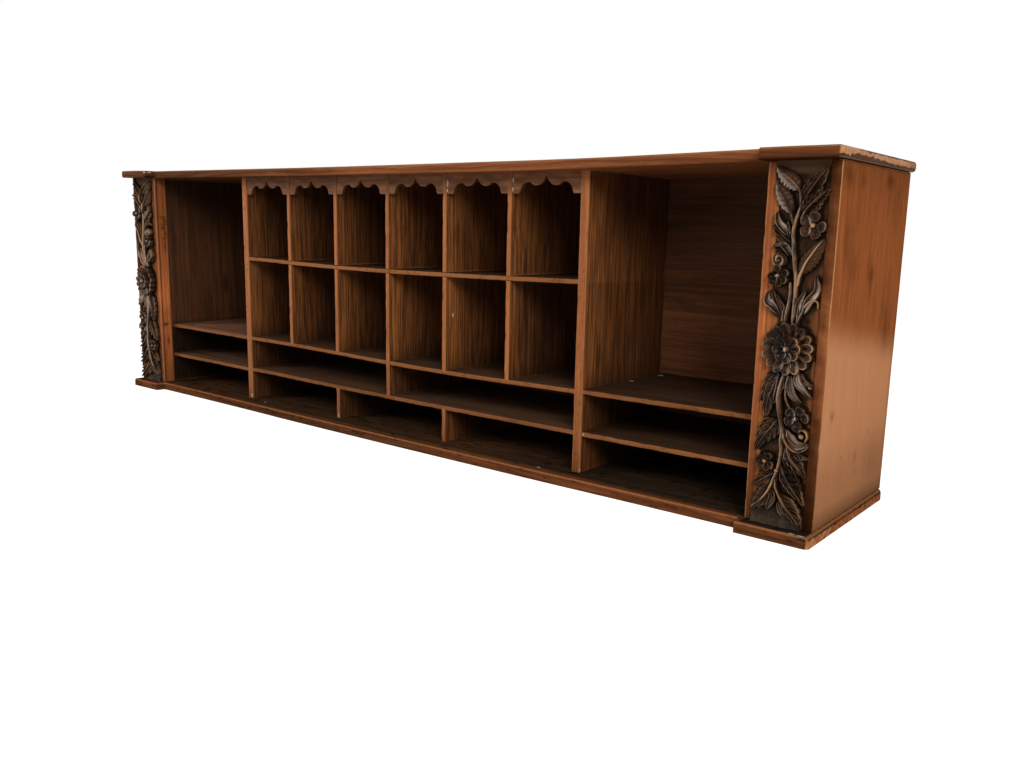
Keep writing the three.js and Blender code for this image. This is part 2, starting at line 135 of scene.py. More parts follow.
pineFinishes = {
    "top": {"pale": "965b37", "deep": "5c331c", "rubbed": "a56c45", "grimeAndShade": "2b170c", "bare": "c99a70",
            "roughness": (0.4, 0.58), "gloss": 0.02, "rubbing": 0.5, "knots": 0.3, "grain": (2.0, 90.0),
            "flaked": {"fromX": 1.1615, "toX": 1.166, "lowZ": 0.6805, "height": 0.0195, "ragged": 0.55,
                       "upper": (-0.2, -0.09, 1.25, 0.78), "lower": (-0.2, -0.13, 0.2, 0.44),
                       "lowerBack": (-0.08, 0.06, 0.0, 0.18), "fadeBack": (0.13, 0.19, 1.0, 0.45),
                       "varnish": "4a2b19", "varnishShare": 0.75, "lip": "8f745c",
                       "lipReach": (0.3 * mm, 1.1 * mm, 0.65, 0.0)}},
    "base": {"pale": "7b492c", "deep": "4d2c1a", "rubbed": "a0683f", "grimeAndShade": "1c110a", "bare": "c0926a",
             "roughness": (0.42, 0.6), "gloss": 0.0, "rubbing": 0.7, "knots": 0.3, "grain": (2.0, 90.0),
             "smudges": 0.8, "toneHue": (0.6, 0.3)},
    "end": {"pale": "a86338", "deep": "834826", "rubbed": "c08856", "grimeAndShade": "4f2d19", "bare": "b98a61",
            "roughness": (0.45, 0.6), "gloss": 0.0, "rubbing": 0.75, "knots": 0.25, "grain": (8.0, 120.0),
            "figure": (0.2, 0.8),
            "front": "643920", "frontAlt": "7a482a", "frontY": -0.177, "frontDepth": 1.2 * mm,
            # foot: a painted sheen on the lower part of the face
            "foot": {"colour": "cb9168", "high": 0.395, "low": 0.315, "slant": 0.15, "share": 0.92,
                     "ragged": 0.09, "cover": 0.7}},
    "shelf": {"pale": "4a3322", "deep": "2c1c14", "rubbed": "8a5730", "grimeAndShade": "150d09", "bare": "9c6b42",
              "roughness": (0.55, 0.75), "gloss": 0.08, "rubbing": 0.2, "knots": 0.3, "grain": (2.2, 75.0),
              "front": "7e4c29", "frontAlt": "945d35", "frontY": -0.135, "frontDepth": 1.2 * mm,
              "backShade": (-0.12, 0.15, 0.85)},
    "divider": {"pale": "ad6a36", "deep": "5c351b", "rubbed": "a8693b", "grimeAndShade": "24140c", "bare": "b88255",
                "roughness": (0.5, 0.68), "gloss": 0.2, "rubbing": 0.45, "knots": 0.45, "grain": (5.0, 170.0),
                "figure": (0.37, 0.6),
                "front": "9c5a2e", "frontAlt": "b56d39", "frontY": -0.135, "frontDepth": 0.8 * mm,
                "frontScuff": 1.4 * mm},
    "wall": {"pale": "653e22", "deep": "402616", "rubbed": "8a5630", "grimeAndShade": "24140c", "bare": "9a6a42",
             "roughness": (0.55, 0.75), "gloss": 0.15, "rubbing": 0.3, "knots": 0.6, "grain": (2.0, 90.0),
             "figure": (0.34, 0.64), "backShade": (-0.1, 0.05, 0.76)},
    "stile": {"pale": "a35d31", "deep": "7c4526", "rubbed": "ad7148", "grimeAndShade": "3f2413", "bare": "b98a61",
              "roughness": (0.42, 0.58), "gloss": 0.08, "rubbing": 0.6, "knots": 0.8, "grain": (2.0, 110.0)},
    "valance": {"pale": "7a4f34", "deep": "523422", "rubbed": "7f583c", "grimeAndShade": "2a1a11", "bare": "9a7250",
                "roughness": (0.5, 0.66), "gloss": 0.08, "rubbing": 0.4, "knots": 0.0, "grain": (2.0, 90.0)},
    "back": {"pale": "54311b", "deep": "351e11", "rubbed": "6a4226", "grimeAndShade": "1c100a", "bare": "7d5535",
             "roughness": (0.6, 0.8), "gloss": 0.15, "rubbing": 0.2, "knots": 0.5, "grain": (1.6, 80.0)},
}
# what all the pine shares: scales along and across the grain, then shares and reaches
pineFigure = {"wander": (1.6, 6.0, 6.0), "sway": (0.0, 0.03, 0.03), "fibres": (12.0, 560.0, 560.0),
              "patches": (4.0, 9.0, 9.0), "knots": (3.0, 7.5, 7.5), "knotSize": (0.05, 0.14),
              "rings": 150.0, "ringSway": 1.4, "ringShare": 0.07, "streakShare": 0.66, "fibreShare": 0.34,
              "contrast": (0.3, 0.68), "scuffs": 85.0, "dirtShare": 0.6, "smudges": (0.6, 1.0, 2.2),
              "smudgeScale": 46.0, "backShadeSway": 0.05, "frontScuff": 3 * mm, "bump": 0.35, "bumpDepth": 0.6 * mm}


def pineFibres(tree, grain, finish):
    # streaks, fibres and growth rings; the grain wanders slowly, so that no line runs dead straight
    look = pineFigure
    wander = addNode(tree, "TexNoise", {"Vector": stretch(tree, grain, look["wander"]), "Scale": 1.0,
                                        "Detail": 2.0}).outputs[1]
    shift = addNode(tree, "VectorMath", {0: wander, 1: (0.5, 0.5, 0.5)}, operation="SUBTRACT").outputs[0]
    shift = stretch(tree, shift, look["sway"])
    bent = addNode(tree, "VectorMath", {0: grain, 1: shift}, operation="ADD").outputs[0]
    long, fine = finish["grain"]
    streaks = cloud(tree, stretch(tree, bent, (long, fine, fine)), 1.0, 5.0, 0.62)
    fibres = cloud(tree, stretch(tree, bent, look["fibres"]), 1.0, 2.0, 0.6)
    radius = addNode(tree, "VectorMath", {0: stretch(tree, bent, (0.0, 1.0, 1.0))}, operation="LENGTH")
    turns = times(tree, radius.outputs["Value"], look["rings"])
    phase = calc(tree, "FRACT", plus(tree, turns, times(tree, streaks, look["ringSway"])))
    ring = times(tree, rise(tree, phase, 0.35, 0.9), rise(tree, phase, 0.9, 1.0, 1.0, 0.0))
    figure = plus(tree, times(tree, streaks, look["streakShare"]), times(tree, fibres, look["fibreShare"]))
    figure = less(tree, figure, times(tree, ring, look["ringShare"]))
    return bent, streaks, fibres, figure


def sheenAtFoot(tree, colour, spot, figure, share, finish):
    # a painted sheen standing for a reflection: paler below a ragged line that slants down towards the back
    foot = finish["foot"]
    level = plus(tree, spot.outputs[2], times(tree, spot.outputs[1], foot["slant"]))
    level = plus(tree, level, times(tree, less(tree, figure, 0.5), foot["ragged"]))
    sheened = blend(tree, share, tint(finish["pale"]), tint(foot["colour"]))
    sheened = stain(tree, sheened, foot["cover"], foot["colour"])
    return blend(tree, rise(tree, level, foot["low"], foot["high"], foot["share"], 0.0), colour, sheened)


def wornFront(tree, colour, spot, share, dirt, scuffs, finish):
    # the front edge has its own wear, a few millimetres deep
    depth = less(tree, spot.outputs[1], finish["frontY"])
    depth = less(tree, depth, times(tree, scuffs, finish.get("frontScuff", pineFigure["frontScuff"])))
    edge = rise(tree, depth, -1 * mm, finish["frontDepth"], 1.0, 0.0)
    wearAndSheen = blend(tree, share, tint(finish["front"]), tint(finish["frontAlt"]))
    wearAndSheen = stain(tree, wearAndSheen, times(tree, dirt, 0.8), finish["grimeAndShade"])
    wearAndSheen = stain(tree, wearAndSheen, rise(tree, scuffs, 0.52, 0.72, 0.0, 0.5), finish["grimeAndShade"])
    return blend(tree, edge, colour, wearAndSheen)


def flakedEnd(tree, colour, spot, ragged, bare, flaked):
    # The right end has lost its varnish in a ragged band that starts at the front corner. Heights are
    # shares of the end's rounded nose; dark varnish is left above and below the band.
    across, back, up = (spot.outputs[axis] for axis in range(3))
    onEnd = rise(tree, across, flaked["fromX"], flaked["toX"])
    level = calc(tree, "DIVIDE", less(tree, up, flaked["lowZ"]), flaked["height"])
    level = plus(tree, level, times(tree, less(tree, ragged, 0.5), flaked["ragged"]))
    upper = rise(tree, back, *flaked["upper"])
    lower = less(tree, rise(tree, back, *flaked["lower"]), rise(tree, back, *flaked["lowerBack"]))
    under = rise(tree, less(tree, level, upper), -0.05, 0.05, 1.0, 0.0)
    over = rise(tree, less(tree, level, lower), -0.05, 0.05)
    band = times(tree, times(tree, under, over), onEnd)
    fadeBack = rise(tree, back, *flaked["fadeBack"])
    varnished = times(tree, times(tree, onEnd, fadeBack), flaked["varnishShare"])
    colour = stain(tree, colour, varnished, flaked["varnish"])
    colour = blend(tree, times(tree, band, fadeBack), colour, bare)
    fromLip = calc(tree, "ABSOLUTE", less(tree, up, flaked["lowZ"]))
    return stain(tree, colour, times(tree, rise(tree, fromLip, *flaked["lipReach"]), onEnd), flaked["lip"])


def pineMaterial(name, finish):
    material, tree = newMaterial(name)
    look = pineFigure
    grain, arris = marked(tree, "grain", "Vector"), marked(tree, "arris")
    tone, bare = marked(tree, "tone"), marked(tree, "bare")
    place = addNode(tree, "TexCoord").outputs["Object"]
    spot = addNode(tree, "SeparateXYZ", {0: place})
    bent, streaks, fibres, figure = pineFibres(tree, grain, finish)
    patches = cloud(tree, stretch(tree, grain, look["patches"]), 1.0, 4.0, 0.6)
    scuffs = cloud(tree, place, look["scuffs"], 3.0, 0.6)
    share = rise(tree, figure, *finish.get("figure", look["contrast"]))
    colour = blend(tree, share, tint(finish["deep"]), tint(finish["pale"]))

    # knots: dark eyes where a cell's middle comes near the face
    cells = addNode(tree, "TexVoronoi", {"Vector": stretch(tree, bent, look["knots"]), "Scale": 1.0})
    eye = rise(tree, cells.outputs["Distance"], *look["knotSize"], 1.0, 0.0)
    colour = stain(tree, colour, times(tree, eye, finish["knots"]), finish["grimeAndShade"])

    # blotchy stain and old grime
    dirt = times(tree, rise(tree, patches, 0.52, 0.8), look["dirtShare"])
    colour = stain(tree, colour, dirt, finish["grimeAndShade"])
    if "smudges" in finish:
        smudge = cloud(tree, stretch(tree, place, look["smudges"]), look["smudgeScale"], 4.0, 0.6)
        smudge = times(tree, rise(tree, smudge, 0.54, 0.7), finish["smudges"])
        colour = stain(tree, colour, smudge, finish["grimeAndShade"])
    if "foot" in finish:
        colour = sheenAtFoot(tree, colour, spot, figure, share, finish)
    # painted shade deeper in the case, with some grime
    if "backShade" in finish:
        near, far, level = finish["backShade"]
        sway = look["backShadeSway"]
        inside = plus(tree, spot.outputs[1], times(tree, streaks, sway))
        colour = darken(tree, colour, [rise(tree, inside, near + sway / 2, far + sway / 2, 1.0, level)] * 3)
    if "front" in finish:
        colour = wornFront(tree, colour, spot, share, dirt, scuffs, finish)

    # a dim tone may keep more of its green and blue
    dim, lift = calc(tree, "MINIMUM", tone, 1.0), calc(tree, "MAXIMUM", tone, 1.0)
    cool = [times(tree, calc(tree, "POWER", dim, power), lift) for power in finish.get("toneHue", (1.0, 1.0))]
    colour = darken(tree, colour, [tone] + cool)
    rubbed = rise(tree, plus(tree, arris, times(tree, scuffs, 0.9)), 0.75, 1.25)
    colour = stain(tree, colour, times(tree, rubbed, finish["rubbing"]), finish["rubbed"])
    torn = blend(tree, share, tint(finish["rubbed"]), tint(finish["bare"]))
    colour = blend(tree, rise(tree, plus(tree, bare, times(tree, scuffs, 0.6)), 0.6, 0.9), colour, torn)
    if "flaked" in finish:
        colour = flakedEnd(tree, colour, spot, scuffs, torn, finish["flaked"])

    height = plus(tree, times(tree, figure, 0.8), times(tree, fibres, 0.4))
    bump = addNode(tree, "Bump", {"Strength": look["bump"], "Distance": look["bumpDepth"], "Height": height})
    low, high = finish["roughness"]
    roughness = rise(tree, plus(tree, patches, times(tree, fibres, 0.3)), 0.4, 0.9, low, high)
    ends = {"Base Color": colour, "Roughness": roughness, "Specular IOR Level": finish["gloss"],
            "Normal": bump.outputs[0]}
    addNode(tree, "OutputMaterial", {0: addNode(tree, "BsdfPrincipled", ends).outputs[0]})
    return material


pine = {name: pineMaterial("pine_" + name, finish) for name, finish in pineFinishes.items()}
print("pine finishes", len(pine))


# Mesh helpers

def ripple(points, wavelength, seed):
    # sum of six sine waves of about one wavelength, each in its own seeded direction, from -1 to 1
    rng = np.random.default_rng(seed)
    ways = rng.normal(size=(6, 3))
    ways *= (2 * np.pi / wavelength / np.linalg.norm(ways, axis=1) * rng.uniform(0.6, 1.6, 6))[:, None]
    return np.sin(points @ ways.T + rng.uniform(0, 2 * np.pi, 6)).mean(axis=1) * 1.6


def addMesh(name, points, faces, material, marks):
    # points (n, 3), faces a list of whole arrays of quads or triangles, marks kept on the points
    mesh = bpy.data.meshes.new(name)
    mesh.vertices.add(len(points))
    mesh.vertices.foreach_set("co", points.astype(np.float32).ravel())
    corners = np.concatenate([part.ravel() for part in faces])
    sizes = np.concatenate([np.full(len(part), part.shape[1]) for part in faces])
    mesh.loops.add(len(corners))
    mesh.loops.foreach_set("vertex_index", corners.astype(np.int32))
    mesh.polygons.add(len(sizes))
    mesh.polygons.foreach_set("loop_start", (np.cumsum(sizes) - sizes).astype(np.int32))
    mesh.polygons.foreach_set("use_smooth", np.ones(len(sizes), bool))
    for markName, values in marks.items():
        isVector = values.ndim == 2
        layer = mesh.attributes.new(markName, "FLOAT_VECTOR" if isVector else "FLOAT", "POINT")
        layer.data.foreach_set("vector" if isVector else "value", values.astype(np.float32).ravel())
    mesh.update(calc_edges=True)
    mesh.materials.append(material)
    piece = bpy.data.objects.new(name, mesh)
    scene.collection.objects.link(piece)
    return piece


def boxGrid(low, high, rounding, step, extra):
    # A closed grid over a box. Lines crowd in the arrises, where tan of the turn sets their spacing,
    # and extra lines may be asked for along each axis.
    lines = []
    for axis in range(3):
        size = high[axis] - low[axis]
        near = rounding * (1 - np.tan(np.radians([45, 30, 15, 0])))
        near = np.concatenate([near, rounding + np.array([1.5, 4.5]) * mm])
        near = near[near < 0.45 * size]
        count = max(1, math.ceil((size - 2 * near[-1]) / step[axis]))
        inner = np.linspace(near[-1], size - near[-1], count + 1)
        asked = np.array(extra.get(axis, [])) - low[axis]
        asked = asked[(asked > 2 * rounding) & (asked < size - 2 * rounding)]
        line = np.unique(np.round(np.concatenate([near, inner, size - near, asked]), 7))
        lines.append(low[axis] + line)
    counts = [len(line) for line in lines]
    quads = []
    for axis in range(3):
        nextAxis, lastAxis = (axis + 1) % 3, (axis + 2) % 3
        b, c = np.meshgrid(np.arange(counts[nextAxis] - 1), np.arange(counts[lastAxis] - 1), indexing="ij")
        ring = [(b, c), (b + 1, c), (b + 1, c + 1), (b, c + 1)]
        for end in (0, counts[axis] - 1):
            codes = []
            for bb, cc in ring if end else ring[::-1]:
                index = [None] * 3
                index[axis], index[nextAxis], index[lastAxis] = np.full_like(bb, end), bb, cc
                codes.append((index[0] * counts[1] + index[1]) * counts[2] + index[2])
            quads.append(np.stack(codes, -1).reshape(-1, 4))
    codes, quads = np.unique(np.concatenate(quads), return_inverse=True)
    index = np.unravel_index(codes, counts)
    points = np.stack([lines[axis][index[axis]] for axis in range(3)], -1)
    return points, quads.reshape(-1, 4)


# ripples along an arris, how near it the wear comes, and the size of a nick
wearLook = {"fine": 0.035, "broad": 0.3, "reach": 2.5 * mm, "nickSpread": (2 * mm, 6 * mm),
            "nickDepth": (0.5 * mm, 1.6 * mm)}


def roundedBoard(low, high, board, seed):
    # Each grid point goes to the nearest point of the core plus the radius along the line from it.
    # The arris is then worn: it moves inwards by a ripple, and by a bell at each nick.
    low, high = np.array(low, float), np.array(high, float)
    rounding = board["rounding"]
    points, quads = boxGrid(low, high, rounding, board["step"], board.get("extra", {}))
    core = np.clip(points, low + rounding, high - rounding)
    away = points - core
    away /= np.linalg.norm(away, axis=1)[:, None]
    toFaces = np.sort(np.minimum(points - low, high - points), axis=1)
    nearArris = np.exp(-(toFaces[:, 1] / wearLook["reach"]) ** 2)
    wear = board["wear"] * np.clip(0.5 + 0.5 * ripple(points, wearLook["fine"], seed), 0, 1)
    wear = wear * np.clip(0.5 + 0.5 * ripple(points, wearLook["broad"], seed + 1), 0, 1)
    rng = np.random.default_rng(seed + 2)
    thin = int(np.argmin(high - low))
    for nick in range(board["nicks"]):
        spot = low + rng.uniform(0.02, 0.98, 3) * (high - low)
        spot[1] = low[1]                       # nicks sit on the front arrises
        spot[thin] = (low, high)[rng.integers(2)][thin]
        spread, deep = rng.uniform(*wearLook["nickSpread"]), rng.uniform(*wearLook["nickDepth"])
        wear = wear + deep * np.exp(-((points - spot) ** 2).sum(1) / (2 * spread ** 2))
    wearAndSheen = core + away * (rounding - np.minimum(wear, 0.9 * rounding) * nearArris)[:, None]
    return wearAndSheen, quads, np.exp(-(toFaces[:, 1] / board.get("arris", 4 * mm)) ** 2)


grainAxes = {"x": (0, 1, 2), "y": (1, 2, 0), "z": (2, 0, 1)}


def grainOf(points, middle, along, seed):
    # place of each point in its own tree: along the trunk, then across it, with the pith off the board
    rng = np.random.default_rng(seed + 50)
    pith = np.array([rng.uniform(-9, 9), rng.uniform(-0.12, 0.12), rng.uniform(0.05, 0.16)])
    return (points - middle)[:, grainAxes[along]] + pith


def addBoard(name, nodes, boxes, board, seed, reshape=None):
    allPoints, allQuads, allArris, count = [], [], [], 0
    for low, high in boxes:
        points, quads, arris = roundedBoard(low, high, board, seed)
        if reshape:
            points = reshape(points)
        allPoints.append(points)
        allQuads.append(quads + count)
        allArris.append(arris)
        count += len(points)
    points = np.concatenate(allPoints)
    middle = (points.min(0) + points.max(0)) / 2
    tone = board["tone"](points) if "tone" in board else np.ones(len(points))
    tone = tone * (1 + np.random.default_rng(seed + 90).uniform(-1, 1) * board.get("toneSpread", 0.12))
    bare = board["bare"](points) if "bare" in board else np.zeros(len(points))
    arris = np.concatenate(allArris) * (board["rubbing"](points) if "rubbing" in board else 1)
    marks = {"grain": grainOf(points, middle, board["along"], seed), "arris": arris, "tone": tone,
             "bare": bare}
    piece = addMesh(name, points, [np.concatenate(allQuads)], pine[board["finish"]], marks)
    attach(piece, "root")
    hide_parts(*nodes)
    return piece


def nodeBox(name):
    low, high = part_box(name)
    return np.array(low), np.array(high)


# Top and base boards, with a forward step over each end

topLow, topHigh = nodeBox("top_board")
baseLow, baseHigh = nodeBox("base_board")
slabBoard = {"rounding": 3.6 * mm, "step": (7 * mm, 9 * mm, 2 * mm), "wear": 1.1 * mm, "nicks": 26,
             "along": "x", "slot": "case_pine", "toneSpread": 0.0,
             "blockInner": 1.020, "breakStep": 0.026, "breakRun": 5 * mm, "noseX": (1.15, 1.16)}
breakLines = slabBoard["blockInner"] + np.linspace(-1, 1, 9) * slabBoard["breakRun"] * 0.6
slabBoard["extra"] = {0: np.concatenate([breakLines, -breakLines])}
# how far the top board has sunk between its ends, and how far the base has bowed out: place, millimetres
topSag = ([-1.03, -0.9, -0.7, -0.5, -0.3, -0.1, 0.1, 0.3, 0.5, 0.6, 0.7, 0.8, 0.9, 1.02],
          [1.6, 2.2, 3.6, 4.8, 6.0, 6.6, 6.8, 6.7, 6.8, 6.5, 5.6, 4.0, 2.4, 0.5])
baseBow = ([-0.8, -0.65, -0.5, -0.4, -0.3, -0.1, 0.1, 0.3, 0.5, 0.6, 0.7, 0.8, 0.95],
           [0.0, 1.0, 3.2, 5.6, 6.8, 7.6, 7.8, 6.8, 5.5, 4.4, 2.8, 1.2, 0.0])
# tables of the tone's level: place along the board or height, level
topLook = {"corner": 6 * mm, "nose": 4.5 * mm, "chip": 1.4 * mm, "chipZ": 0.694, "spot": 0.85, "spotZ": 0.68,
           "along": ([-1.17, -0.9, -0.55, -0.26, 0.05, 0.5, 0.75, 0.85, 1.17],
                     [0.6, 0.46, 0.56, 0.98, 1.27, 1.25, 0.92, 1.0, 1.0]),
           "down": ([0.679, 0.683, 0.688, 0.694, 0.7], [0.2, 0.42, 0.72, 0.78, 0.82]),
           "sagEnd": (1.0, 1.1), "rubbedZ": (0.684, 0.692)}
baseLook = {"corner": 11 * mm, "nose": 4 * mm, "spare": 3.2 * mm, "spot": 0.6, "spotZ": 0.012,
            "along": ([-1.17, -1.03, -1.0, -0.3, 0.1, 0.25, 0.6, 0.8, 1.0, 1.03],
                      [1.4, 1.4, 0.96, 0.74, 0.82, 1.15, 1.28, 1.5, 1.35, 1.0]),
            "down": ([0, 0.006, 0.014], [0.85, 0.95, 1.0]),
            "floor": ([-1.0, 0.2, 0.6, 1.0], [0.5, 0.49, 0.19, 0.16]),
            "topZ": (0.012, 0.0185), "floorY": (-0.178, -0.158), "bayX": 1.03, "panelX": (1.12, 1.158),
            "carvingY": (-0.2055, -0.2), "rightLedge": 0.12, "leftLedge": 0.5, "endX": (1.163, 1.165),
            "endLift": 1.4, "bareX": (1.158, 1.163), "bareY": (0.06, 0.17), "bareZ": (0.014, 0.021)}
breakSpot = {"x": -1.023, "wide": 11 * mm, "tall": 4.5 * mm, "frontY": -0.175}


def ease(value, low, high):
    # 0 below low, 1 above high, a smooth cubic between
    share = np.clip((value - low) / (high - low), 0, 1)
    return share * share * (3 - 2 * share)


def towardsFront(points):
    # 1 at the front of the end blocks, 0 from the middle of the depth on
    return np.clip(points[:, 1] / topLow[1], 0, 1)


def breakfront(points):
    # the front goes back by the step between the end blocks, and less towards the middle of the depth
    run = slabBoard["breakRun"] / 2
    back = ease(-np.abs(points[:, 0]), -slabBoard["blockInner"] - run, -slabBoard["blockInner"] + run)
    moved = points.copy()
    moved[:, 1] += slabBoard["breakStep"] * back * towardsFront(points)
    return moved


def roundNose(points, lowZ, highZ, depth, lowest=-1.0):
    # half-round ends: each end draws in by the depth times one less the root of one less the height squared
    level = np.clip((2 * points[:, 2] - lowZ - highZ) / (highZ - lowZ), lowest, 1)
    share = ease(np.abs(points[:, 0]), *slabBoard["noseX"])
    moved = points.copy()
    moved[:, 0] -= np.sign(points[:, 0]) * share * depth * (1 - np.sqrt(1 - level ** 2))
    return moved


def roundCorners(points, corner, radius):
    # in plan a square at each corner goes on to a quarter disc: each share times the root of one less half
    # the other squared
    share = np.clip((np.abs(points[:, :2]) - corner[:2] + radius) / radius, 0, 1)
    moved = points.copy()
    moved[:, :2] -= np.sign(points[:, :2]) * share * (1 - np.sqrt(1 - share[:, ::-1] ** 2 / 2)) * radius
    return moved


def onBlock(points):
    return ease(np.abs(points[:, 0]), slabBoard["blockInner"] - 2 * mm, slabBoard["blockInner"] + 2 * mm)


def atBreak(points, level):
    # a spot on the left break: a bell round its place along the board and its height
    across, up = (points[:, 0] - breakSpot["x"]) / breakSpot["wide"], (points[:, 2] - level) / breakSpot["tall"]
    return np.exp(-across ** 2 - up ** 2) * (points[:, 1] < breakSpot["frontY"])


def topDrop(x):
    return np.interp(x, *topSag) * mm * (1 - ease(np.abs(x), *topLook["sagEnd"]))


def topShape(points):
    # the board sinks along the line of the sag, which runs out in its ends; the left break has a chip
    moved = breakfront(roundCorners(points, topHigh, topLook["corner"]))
    moved = roundNose(moved, topLow[2], topHigh[2], topLook["nose"])
    moved[:, 2] -= topDrop(points[:, 0])
    moved[:, 1] += topLook["chip"] * atBreak(moved, topLook["chipZ"])
    return moved


def topTone(points):
    # darker towards the left; the front of the right end block darkens downwards, painted shade under its nose
    level = np.interp(points[:, 0], *topLook["along"])
    down = np.interp(points[:, 2], *topLook["down"])
    level = level * (1 - onBlock(points) * (points[:, 0] > 0) * (1 - down))
    # a painted shadow under the chip at the left break
    return level * (1 - topLook["spot"] * atBreak(points, topLook["spotZ"]))


def topRubbing(points):
    # only the upper arris is rubbed
    return ease(points[:, 2], *topLook["rubbedZ"])


def baseShape(points):
    # stands on the floor with a square lower arris; its front has bowed out between the ends
    moved = breakfront(roundCorners(points, baseHigh, baseLook["corner"]))
    moved[:, 2] = np.maximum(moved[:, 2], 0)
    moved[:, 1] -= np.interp(points[:, 0], *baseBow) * mm * towardsFront(points)
    return roundNose(moved, baseLow[2], baseHigh[2], baseLook["nose"], 0.0)


def baseTone(points):
    # painted shade on the floor of the bays; grime along each end panel and at the foot of the carving
    x, y, z = points.T
    away, onTop = np.abs(x), ease(z, *baseLook["topZ"])
    inBays = ease(y, *baseLook["floorY"]) * (away < baseLook["bayX"]) * onTop
    byPanel = ease(away, *baseLook["panelX"]) * (away < baseLook["endX"][0])
    byCarving = ease(y, *baseLook["carvingY"]) * (away > baseLook["bayX"])
    ledge = np.where(x > 0, baseLook["rightLedge"], baseLook["leftLedge"])
    level = np.interp(x, *baseLook["along"]) * np.interp(z, *baseLook["down"])
    level *= 1 + baseLook["endLift"] * ease(x, *baseLook["endX"])
    level *= 1 - baseLook["spot"] * atBreak(points, baseLook["spotZ"])
    level *= 1 - (1 - np.interp(x, *baseLook["floor"])) * inBays
    return level * (1 - (1 - ledge) * np.maximum(byPanel, byCarving) * onTop)


def baseBare(points):
    # worn through along the right end, most of all near its front
    x, y, z = points.T
    onEnd = ease(x, *baseLook["bareX"]) * (1 - ease(z, *baseLook["bareZ"]))
    onEnd *= 0.55 + 0.45 * ease(-y, *baseLook["bareY"])
    return 0.8 * onEnd * (0.65 + 0.35 * ripple(points, 0.03, 61))


slabs = {"top": {"finish": "top", "tone": topTone, "rubbing": topRubbing, "shape": topShape, "spare": 0.0},
         "base": {"finish": "base", "tone": baseTone, "bare": baseBare, "shape": baseShape,
                  "spare": baseLook["spare"]}}
for seed, word in ((101, "top"), (102, "base")):
    low, high = nodeBox(word + "_board")
    low[2] -= slabs[word]["spare"]          # cut off again by the shape
    addBoard(word + "_board_worn", [word + "_board"], [(low, high)], {**slabBoard, **slabs[word]}, seed,
             slabs[word]["shape"])
print("top and base boards")


# Ends: outer panels, stiles beside the carving, inner walls

# stains on the right end panel: place back and up, width and height, how dark
endMarks = [
    (0.084, 0.655, 0.02, 0.015, 0.55), (0.09, 0.62, 0.012, 0.03, 0.25), (-0.135, 0.645, 0.018, 0.014, 0.3),
    (-0.068, 0.648, 0.014, 0.012, 0.3), (0.021, 0.482, 0.014, 0.017, 0.45), (0.018, 0.46, 0.008, 0.025, 0.3),
    (-0.079, 0.573, 0.008, 0.045, 0.22), (-0.125, 0.23, 0.009, 0.008, 0.45), (0.143, 0.351, 0.03, 0.03, 0.22),
    (0.022, 0.129, 0.006, 0.01, 0.35), (0.135, 0.099, 0.06, 0.06, 0.16), (-0.153, 0.66, 0.03, 0.014, 0.3),
    (-0.107, 0.44, 0.01, 0.03, 0.16), (0.2, 0.3, 0.008, 0.3, 0.2), (-0.02, 0.565, 0.012, 0.05, 0.12)]
# the same on the left stile
stileMarks = [
    (-0.147, 0.545, 0.006, 0.008, 0.85), (-0.154, 0.522, 0.007, 0.006, 0.8), (-0.146, 0.505, 0.005, 0.01, 0.85),
    (-0.161, 0.213, 0.009, 0.006, 0.8), (-0.155, 0.157, 0.004, 0.014, 0.7), (-0.15, 0.465, 0.005, 0.018, 0.5),
    (-0.156, 0.556, 0.012, 0.004, 0.6), (-0.15, 0.533, 0.012, 0.004, 0.6), (-0.151, 0.489, 0.01, 0.004, 0.5)]
# tables of the tone's level: height or place across, level
endLook = {"face": ([0.02, 0.03, 0.06, 0.12, 0.18, 0.25, 0.55, 0.62, 0.68],
                    [0.3, 0.4, 0.7, 0.76, 0.95, 1, 1, 0.9, 0.7]),
           "strip": ([1.140, 1.1465, 1.1515, 1.1565, 1.16], [0.8, 0.9, 1.0, 1.25, 1.25]),
           "stripUp": ([0.03, 0.06, 0.1, 0.16, 0.25, 0.3, 0.42, 0.47, 0.6, 0.66, 0.68],
                       [0.18, 0.22, 0.4, 0.55, 0.9, 1.35, 1.35, 0.9, 0.75, 0.52, 0.4]),
           "stripY": -0.1762, "leftStrip": 0.4, "mottle": 0.3, "faceX": 1.15, "rubbedZ": (0.3, 0.4)}
stileHeights = [0.03, 0.1, 0.2, 0.3, 0.4, 0.5, 0.6, 0.65, 0.68]
stileLook = {"right": (stileHeights, [0.25, 0.45, 0.72, 0.95, 1.3, 1.0, 0.95, 0.8, 0.6]),
             "left": (stileHeights, [0.7, 0.84, 1.35, 1.65, 1.05, 0.78, 0.65, 0.55, 0.4]),
             "rightShare": 1.2, "leftInner": 1.7, "leftFront": 0.75, "innerX": 1.0295, "groove": 0.2}


def marred(level, points, marks, where):
    # each stain darkens by a bell round its place
    for backY, up, wide, tall, share in marks:
        spot = ((points[:, 1] - backY) / wide) ** 2 + ((points[:, 2] - up) / tall) ** 2
        level = level * (1 - share * np.exp(-spot) * where)
    return level


def endTone(points):
    # The face darkens towards the floor. The front edge goes from dark beside the carving to its outer arris,
    # and darkens at its foot and head.
    x, y, z = points.T
    face = marred(np.interp(z, *endLook["face"]), points, endMarks, x > endLook["faceX"])
    strip = np.interp(np.abs(x), *endLook["strip"]) * np.interp(z, *endLook["stripUp"])
    strip *= np.where(x > 0, 1, endLook["leftStrip"])
    strip *= 1 + endLook["mottle"] * ripple(points, 0.035, 66)
    return np.where(y < endLook["stripY"], strip, face)


def endRubbing(points):
    # only the outer arrises are rubbed, less towards the foot
    return (np.abs(points[:, 0]) > endLook["faceX"]) * (0.45 + 0.55 * ease(points[:, 2], *endLook["rubbedZ"]))


